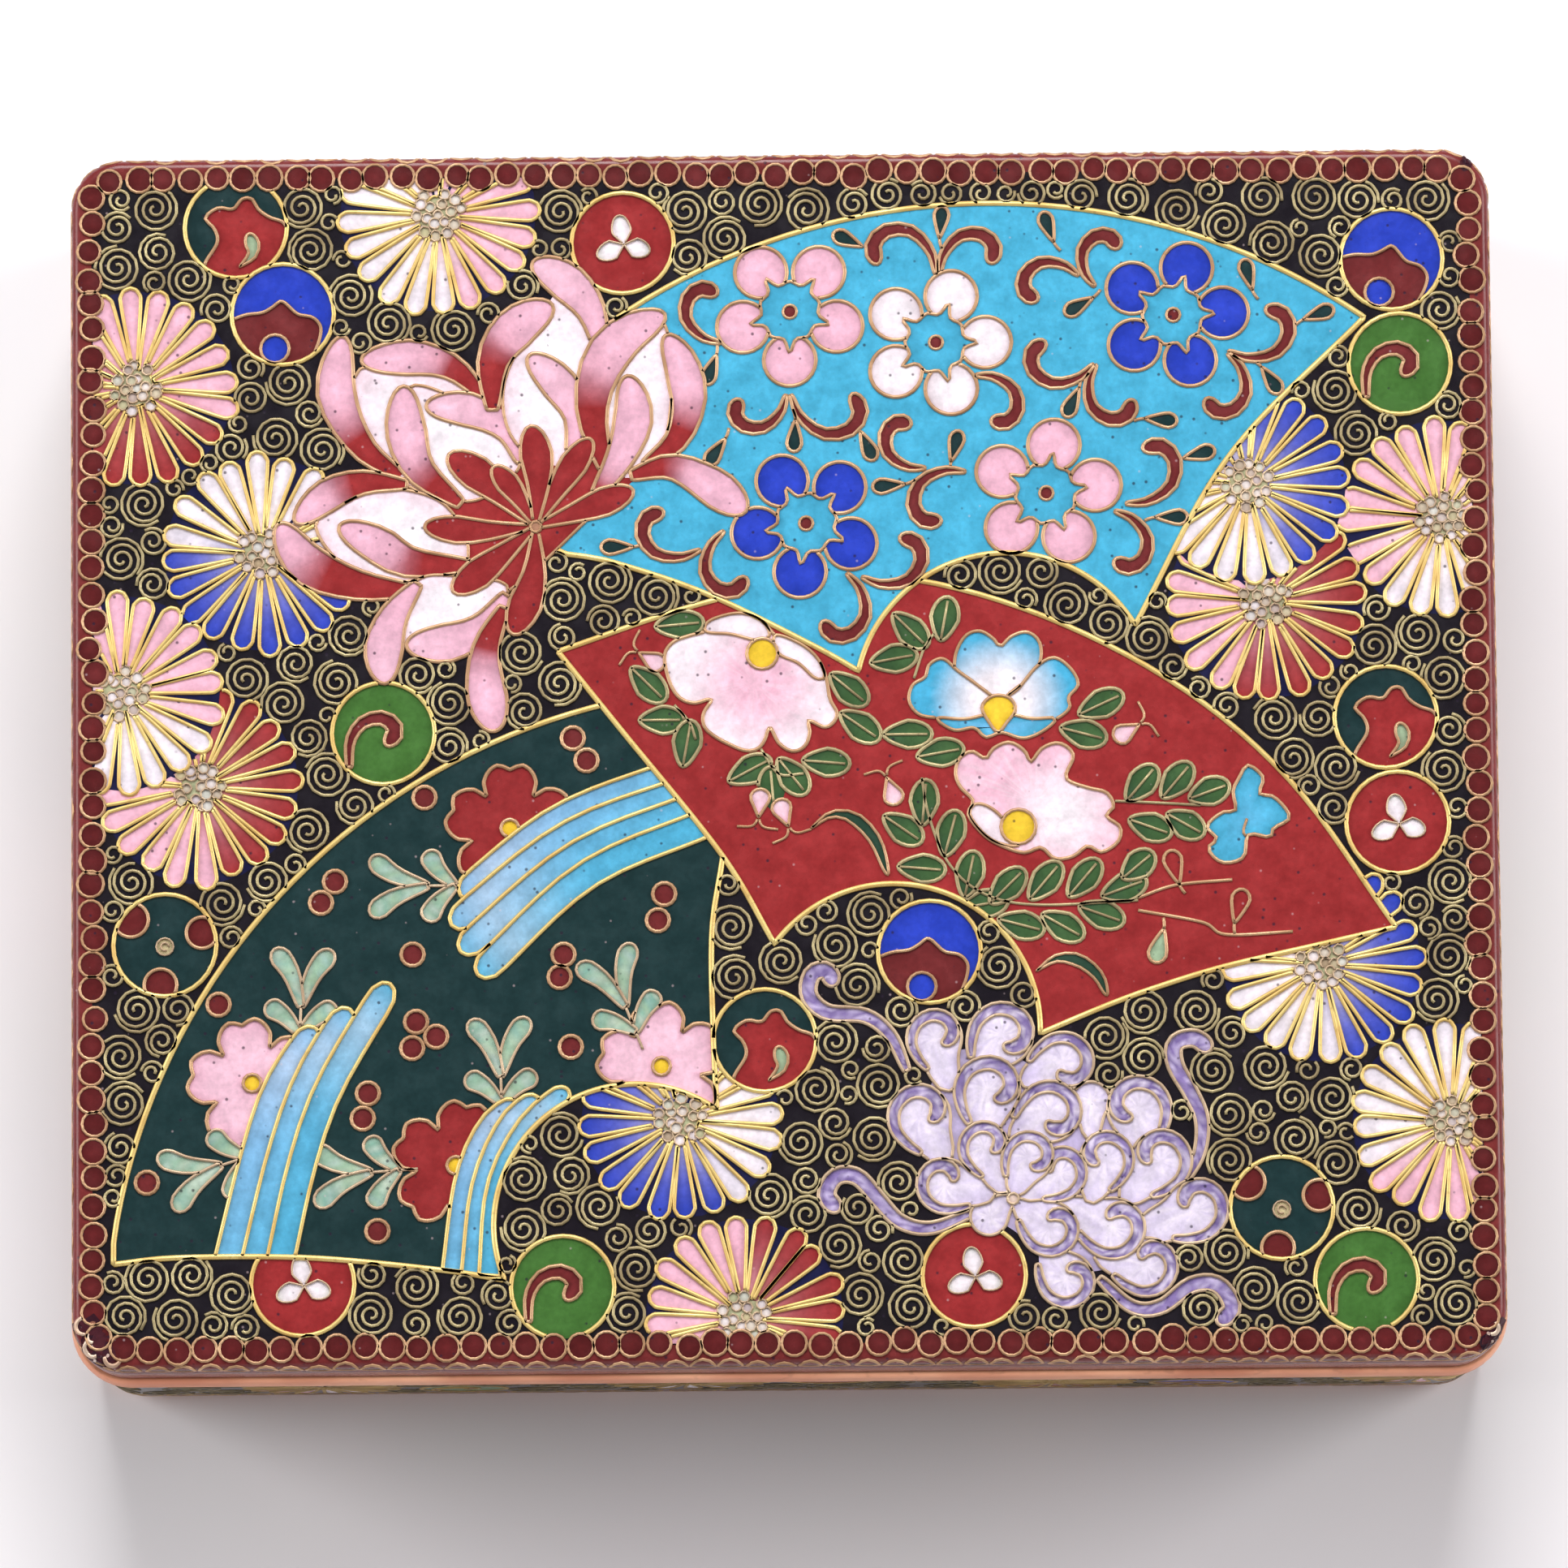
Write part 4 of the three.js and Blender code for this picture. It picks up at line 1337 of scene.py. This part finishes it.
def fan_a(inlay):
    """Turquoise fan with plum blossoms, red-brown commas and green drops."""
    inner = arc((17.5, 4.7), 12.0, 167.8, 30.4, 36)
    outer = arc((16.1, -7.7), 52.8, 136.1, 55.05, 60)
    rib = [(2.4, 9.2), (-6.4, 13.6), (-14.2, 16.3), (-18.6, 17.3), (-22.0, 21.0)]
    left = smooth([inner[0], *rib, tuple(outer[0])])
    right = smooth([inner[-1], (35.4, 24.4), (46.3, 35.6)])
    sheet = leaf_of_paper(inner, outer, left, right)
    edge = inlay.cell(sheet, toned(sheet, (0, TURQUOISE), (1, TURQUOISE), edge=0.95), 0)
    for x, y, angle in (
        (4.9, 42.1, -20), (12.3, 43.6, -90), (-5.9, 31.7, 75), (0.8, 26.3, 92), (-5.5, 25.0, 60),
        (6.6, 25.5, 120), (13.4, 25.4, -100), (8.2, 22.1, 10), (-13.5, 17.3, 5), (36.9, 39.1, -70),
        (42.6, 36.0, 205), (23.5, 36.6, 35), (23.0, 28.8, 70), (30.0, 27.5, 180), (38.9, 30.6, 130),
        (33.0, 24.7, 200), (30.8, 19.6, 185), (20.9, 43.1, -65),
    ):
        drop(inlay, x, y, angle)
    for sx, sy, bx, by, way in (
        (-5.3, 33.9, -5.4, 37.9, 1), (12.0, 39.4, 7.3, 40.1, -1), (12.3, 39.4, 16.4, 40.1, 1),
        (0.0, 29.6, -3.7, 29.4, 1), (0.4, 29.6, 5.3, 29.8, -1), (15.2, 31.1, 16.3, 27.4, 1),
        (11.1, 23.6, 10.1, 27.2, 1), (14.3, 23.3, 12.5, 19.3, -1), (-6.9, 17.1, -9.7, 20.3, 1),
        (-5.0, 18.6, -3.1, 14.9, -1), (6.1, 14.8, 9.0, 18.1, -1), (4.9, 15.1, 2.8, 11.3, 1),
        (24.7, 38.3, 26.7, 41.3, 1), (23.4, 39.2, 20.2, 37.1, -1), (35.4, 32.9, 38.3, 36.4, -1),
        (24.8, 31.9, 27.8, 29.1, -1), (35.4, 32.7, 33.5, 29.1, 1), (24.6, 31.9, 20.8, 33.9, 1),
        (27.2, 20.6, 28.4, 25.1, -1), (26.3, 20.0, 26.1, 16.0, 1),
    ):
        hook(inlay, (sx, sy), (bx, by), way)
    plum(inlay, 0.3, 36.4, PINK, 270)
    plum(inlay, 12.0, 33.8, WHITE, 0)
    plum(inlay, 1.6, 19.2, COBALT, 47)
    plum(inlay, 31.0, 35.9, COBALT, 2)
    plum(inlay, 20.8, 21.5, PINK, 9)
    inlay.line(edge, 0.5, "gilt", closed=True)


def lotus(inlay):
    """A large open lotus, laid from its outer petals to the slim red ones at its heart."""
    deep = [(-30.7, 23.2), (-24.0, 29.0), (-19.0, 29.0), (-14.1, 24.5), (-11.6, 23.5), (-15.1, 20.4),
            (-21.5, 14.4), (-26.0, 12.4), (-30.2, 14.2), (-27.4, 17.9), (-30.4, 21.7)]
    inlay.cell(blob(deep, 60, (-21.0, 20.5)), RED, 0.3)
    for outline, *lobes in (
        # north-west: an outer and an inner pair of folded edges
        (
            [(-34.1, 32.0), (-34.4, 28.0), (-31.2, 23.3), (-26.4, 21.2), (-23.2, 26.0), (-24.0, 29.5),
             (-29.4, 31.9)],
            ([(-30.8, 23.3), (-33.9, 25.7), (-36.0, 30.0), (-35.5, 34.7)], 1.35, 0.36),
            ([(-24.1, 29.6), (-26.6, 32.0), (-29.6, 32.9), (-34.0, 32.7)], 1.25, 0.34),
        ),
        (
            [(-30.3, 30.4), (-29.0, 23.5), (-25.5, 21.2), (-22.0, 23.0), (-21.5, 25.4), (-25.5, 29.0)],
            ([(-26.0, 21.0), (-29.3, 23.8), (-30.4, 27.0), (-30.6, 30.6)], 1.4, 0.3),
            ([(-21.2, 24.4), (-22.4, 27.0), (-25.2, 28.6), (-28.8, 29.0)], 1.2, 0),
        ),
        # north
        (
            [(-19.2, 37.0), (-22.5, 31.0), (-21.7, 26.0), (-17.5, 24.0), (-16.0, 28.0), (-15.1, 33.7),
             (-17.3, 38.4)],
            ([(-23.5, 28.6), (-23.4, 32.7), (-21.5, 35.4), (-18.7, 37.1)], 1.5, 0.42),
            ([(-14.8, 33.2), (-15.6, 36.6), (-17.6, 39.0), (-20.3, 40.6)], 1.35, 0),
            ([(-17.2, 24.4), (-16.7, 28.0), (-18.2, 30.7), (-20.6, 33.0)], 1.25, 0),
        ),
        # north-east
        (
            [(-10.4, 35.6), (-14.6, 31.0), (-15.1, 26.0), (-12.8, 23.0), (-10.2, 24.4), (-9.2, 29.0),
             (-9.3, 33.7)],
            ([(-14.3, 23.4), (-15.5, 28.0), (-15.0, 31.6), (-13.1, 34.4), (-9.7, 36.3)], 1.55, 0.4),
            ([(-11.3, 24.0), (-8.8, 26.0), (-7.8, 29.0), (-8.3, 32.0), (-9.6, 34.6)], 1.3, 0.38),
            ([(-15.3, 21.4), (-13.2, 24.8), (-12.2, 28.0), (-12.7, 31.3)], 1.35, 0.08),
            ([(-12.4, 23.2), (-9.2, 23.9), (-6.2, 22.5), (-3.2, 20.2)], 1.35, 0.3, 0.7),
        ),
        # west
        (
            [(-37.6, 19.3), (-35.1, 15.9), (-30.9, 14.7), (-25.5, 16.4), (-27.2, 20.9), (-31.9, 22.3),
             (-35.5, 21.0)],
            ([(-30.3, 22.6), (-33.8, 22.8), (-36.6, 21.8), (-39.2, 19.6)], 1.15, 0.5),
            ([(-29.6, 14.0), (-34.2, 14.5), (-38.2, 16.2), (-40.6, 19.5)], 1.45, 0.6),
            ([(-25.0, 16.0), (-30.0, 16.3), (-32.7, 17.8), (-35.7, 19.3)], 1.3, 0.42),
        ),
        # south-west and south
        (
            [(-29.7, 14.6), (-30.7, 9.7), (-27.4, 9.7), (-23.5, 12.0), (-22.3, 14.4), (-26.4, 15.2)],
            ([(-29.4, 14.6), (-31.3, 12.0), (-32.1, 9.4), (-32.0, 6.5)], 1.35, 0),
            ([(-22.3, 13.6), (-24.3, 11.0), (-26.9, 9.8), (-30.3, 9.6)], 1.35, 0),
            ([(-22.5, 12.6), (-23.9, 9.4), (-24.0, 6.4), (-23.2, 2.6)], 1.4, 0.34, 0.7),
        ),
    ):
        lotus_body(inlay, outline)
        for lobe in lobes:
            lotus_lobe(inlay, *lobe)
    heart = (-20.0, 19.1)
    for middle, tip, wide in (
        ((-15.8, 20.6), (-12.2, 22.0), 1.2),
        ((-18.0, 22.6), (-15.6, 26.2), 1.15),
        ((-24.6, 18.8), (-28.9, 19.2), 1.15),
        ((-24.0, 15.8), (-26.6, 13.9), 1.3),
        ((-20.2, 14.8), (-21.8, 10.4), 1.4),
        ((-23.6, 22.6), (-27.0, 25.0), 1.45),
        ((-21.6, 21.8), (-23.4, 24.0), 0.95),
        ((-19.8, 23.4), (-20.4, 27.3), 1.35),
    ):
        shape = blade([heart, middle, tip], wide * 0.95, 0.66, root=0.12, rows=12)
        inlay.cell(shape, toned(shape, (0, mix(RED, BLACK, 0.1)), (1, RED)), 0.34)
    inlay.cell(round_cell(heart, 0.45, 9, 2), mix(RED, IVORY, 0.4), 0.3)


def lilac_flower(inlay):
    """A loose chrysanthemum of curling lilac petals round one point, with four tendrils."""
    for curl in (
        [(3.8, -18.1), (3.3, -16.9), (2.1, -17.1), (1.8, -18.8), (3.3, -20.2), (6.3, -20.5),
         (8.3, -22.1), (9.6, -24.9)],
        [(33.7, -23.5), (32.5, -22.5), (30.9, -22.9), (30.9, -24.6), (32.1, -26.8), (33.0, -29.0),
         (32.8, -31.6), (31.7, -33.8)],
        [(4.2, -36.1), (3.2, -34.8), (4.0, -33.3), (5.7, -33.4), (7.4, -35.3), (9.1, -37.0),
         (11.5, -37.5), (14.8, -36.3)],
        [(34.2, -45.3), (35.3, -44.0), (34.2, -42.2), (32.1, -42.2), (29.7, -43.9), (27.4, -43.9),
         (24.8, -41.6)],
    ):
        tendril(inlay, curl)
    behind = [(12.4, -24.0), (17.0, -23.4), (22.4, -26.4), (27.6, -29.6), (30.0, -34.8), (28.6, -39.6),
              (22.6, -41.0), (17.6, -37.4), (13.4, -34.8), (11.2, -29.8)]
    inlay.cell(blob(behind, 40, (19.0, -32.5)), mix(LILAC, PURPLE, 0.35), 0)
    for head, size, root, hand in (
        ((11.8, -22.3), 2.15, (13.0, -26.6), -1),
        ((17.1, -22.1), 2.5, (15.6, -25.3), -1),
        ((22.0, -24.3), 2.3, (18.6, -26.0), -1),
        ((24.2, -27.4), 1.5, (24.2, -30.6), 0),
        ((28.0, -28.1), 2.5, (28.0, -31.6), 1),
        ((10.6, -28.6), 2.45, (12.8, -32.4), -1),
        ((29.7, -32.3), 2.4, (26.6, -35.6), 1),
        ((32.5, -36.2), 2.45, (27.4, -38.3), 1),
        ((16.0, -26.5), 2.55, (16.0, -30.2), -1),
        ((20.9, -28.3), 2.4, (17.8, -30.6), -1),
        ((28.6, -40.7), 2.3, (24.4, -39.6), 1),
        ((22.2, -41.7), 2.15, (20.4, -38.9), 1),
        ((25.9, -37.6), 2.4, (21.6, -35.6), 1),
        ((20.9, -37.6), 2.15, (18.1, -35.0), 1),
        ((16.1, -36.6), 1.5, (17.9, -35.0), 0),
        ((12.6, -34.1), 2.15, (16.6, -34.9), -1),
        ((15.7, -31.1), 1.95, (17.4, -34.8), -1),
        ((25.4, -32.1), 2.1, (24.0, -35.6), 1),
        ((21.7, -33.2), 2.05, (18.4, -35.0), 1),
        ((19.2, -31.9), 1.95, (18.0, -35.0), -1),
    ):
        curl_petal(inlay, head, size, root, hand)
    inlay.cell(round_cell((18.0, -35.2), 0.45, 9, 2), mix(LILAC, YELLOW, 0.4), 0.26, "pale")


fan_c(top)
medallion(top, 14.9, -41.3, "trefoil")
fan_b(top)
fan_a(top)
lotus(top)
lilac_flower(top)

# the drawing stops at each ring of the border
for line in border:
    top.hide(2 * line - settle(line))
picture, gilt_wires, rose_wires, pale_wires, scroll_wires = Piece(), Piece(), Piece(), Piece(), Piece()
wires = {"gilt": gilt_wires, "rose": rose_wires, "pale": pale_wires, "scroll": scroll_wires}
top.lay(picture, wires)
fill_with_scrolls(top, PICTURE, (1.8, 1.65, 1.5, 1.3, 1.1, 0.9, 0.72), wires)


# ---------------------------------------------------------------- the walls' ornament
def wall_picture(skin, high, low, flower, figures):
    """Scrolls round a wall between two heights, with flowers and small round figures at even distances."""
    count = 14
    edge = np.array([(0.02, low), (GIRTH - 0.02, low), (GIRTH - 0.02, high), (0.02, high)])
    inlay = Inlay(skin, resample(edge, 300, closed=True))
    middle = (low + high) / 2
    tints = ((WHITE, PINK), (COBALT, WHITE), (PINK, RED))
    for k in range(count):
        x = GIRTH / count * (k + 0.5)
        chrysanthemum(inlay, x, middle + (1.2 if k % 2 else -1.2), *tints[k % 3], 40 * k, flower, 16)
        medallion(inlay, x + 11.4, middle + (3.2 if k % 2 else -3.2), figures[k % len(figures)], radius=3.5)
    inlay.lay(wall_enamel, {"gilt": wall_wires, "rose": wall_wires, "pale": wall_wires})
    metals = {"scroll": wall_scrolls}
    fill_with_scrolls(inlay, inlay.limit, (2.5, 2.1, 1.7, 1.3), metals, 0.85, 0.34, 0.5, 0.9)


wall_picture(box_wall, -2.1, -17.3, 6.6, ("comma", "trefoil", "cloud", "leaf"))
bare = [(-2.5, 0.5, 0.95, 205, 335), (0.0, 0.4, 1.0, 200, 320)]
bare += [(2.3, 0.5, 0.95, 210, 340), (-1.0, 1.0, 0.9, 230, 310)]
chips(GIRTH - 3.4, 0.1, 1.5, 12, 0.85, bare)
chips(STARTS[1] + 4.0, -0.5, 0.9, 7, 0.6, ((0.4, 0.4, 0.8, 220, 330),))
chips(STARTS[3] + 3.4, -0.5, 0.6, 3)

picture.make("lid_picture", enamel, "lid_enamel", flat=True)
gilt_wires.make("lid_gilt_wires", gilt)
rose_wires.make("lid_rose_wires", rose)
pale_wires.make("lid_pale_wires", pale)
scroll_wires.make("lid_scroll_wires", olive)
rim_enamel.make("lid_border_enamel", enamel, "lid_enamel", flat=True)
rim_wires.make("lid_border_wires", rose)
bare_wires.make("lid_bare_wires", bare_metal)
wall_enamel.make("wall_enamel", enamel, "lid_enamel", flat=True)
wall_wires.make("wall_wires", shade_darkened_gilt)
wall_scrolls.make("wall_scroll_wires", shade_darkened_olive)

# ---------------------------------------------------------------- floor, light and camera
bpy.ops.mesh.primitive_plane_add(size=3.0, location=(0, 0, 0))
floor = bpy.context.object
floor.name = "floor"
paper, nodes, links, shader = graph("pale table")
grain = node(nodes, "ShaderNodeTexNoise", in_Scale=14.0, in_Detail=4.0)
links.new(node(nodes, "ShaderNodeTexCoord").outputs["Object"], grain.inputs["Vector"])
tint = ramp(nodes, links, grain.outputs["Fac"], 0.3, 0.7)
table_tone = blend_colour(nodes, links, tint, (0.95, 0.91, 0.94), (0.99, 0.97, 0.985))
links.new(table_tone, shader.inputs["Base Color"])
shader.inputs["Roughness"].default_value = 0.9
shader.inputs["Specular IOR Level"].default_value = 0.1
floor.data.materials.append(paper)


def soft_light(name, place, size, power):
    """A square area light that looks at the box."""
    data = bpy.data.lights.new(name, "AREA")
    data.size = size
    data.energy = power
    lamp = bpy.data.objects.new(name, data)
    bpy.context.scene.collection.objects.link(lamp)
    lamp.location = place
    lamp.rotation_mode = "QUATERNION"
    lamp.rotation_quaternion = lamp.location.to_track_quat("Z", "Y")


soft_light("back", (0.0, 0.78, 0.88), 0.5, 10.2)
soft_light("left", (-1.0, 0.18, 0.70), 0.6, 6.9)
soft_light("right", (1.0, 0.18, 0.70), 0.6, 6.9)
soft_light("front", (0.05, -0.95, 0.30), 0.7, 1.1)
world = bpy.data.worlds.new("room")
bpy.context.scene.world = world
world.use_nodes = True
world.node_tree.nodes["Background"].inputs["Color"].default_value = (0.9, 0.88, 0.9, 1)
world.node_tree.nodes["Background"].inputs["Strength"].default_value = 0.17
bpy.context.scene.view_settings.view_transform = "Standard"

TILT, ROLL, AWAY = math.radians(6.8), math.radians(-0.51), 0.85
AIM = (-0.00007, -0.00234, 0.033)  # the spot on the lid that the camera looks at, in metres
FOCAL = 245.04
lens = bpy.data.cameras.new("camera")
lens.sensor_width = 36.0
lens.lens = FOCAL
lens.clip_start, lens.clip_end = 0.05, 20.0
eye = bpy.data.objects.new("camera", lens)
bpy.context.scene.collection.objects.link(eye)
eye.location = (AIM[0], AIM[1] - AWAY * math.sin(TILT), AIM[2] + AWAY * math.cos(TILT))
eye.rotation_euler = (Matrix.Rotation(TILT, 3, "X") @ Matrix.Rotation(ROLL, 3, "Z")).to_euler()
bpy.context.scene.camera = eye
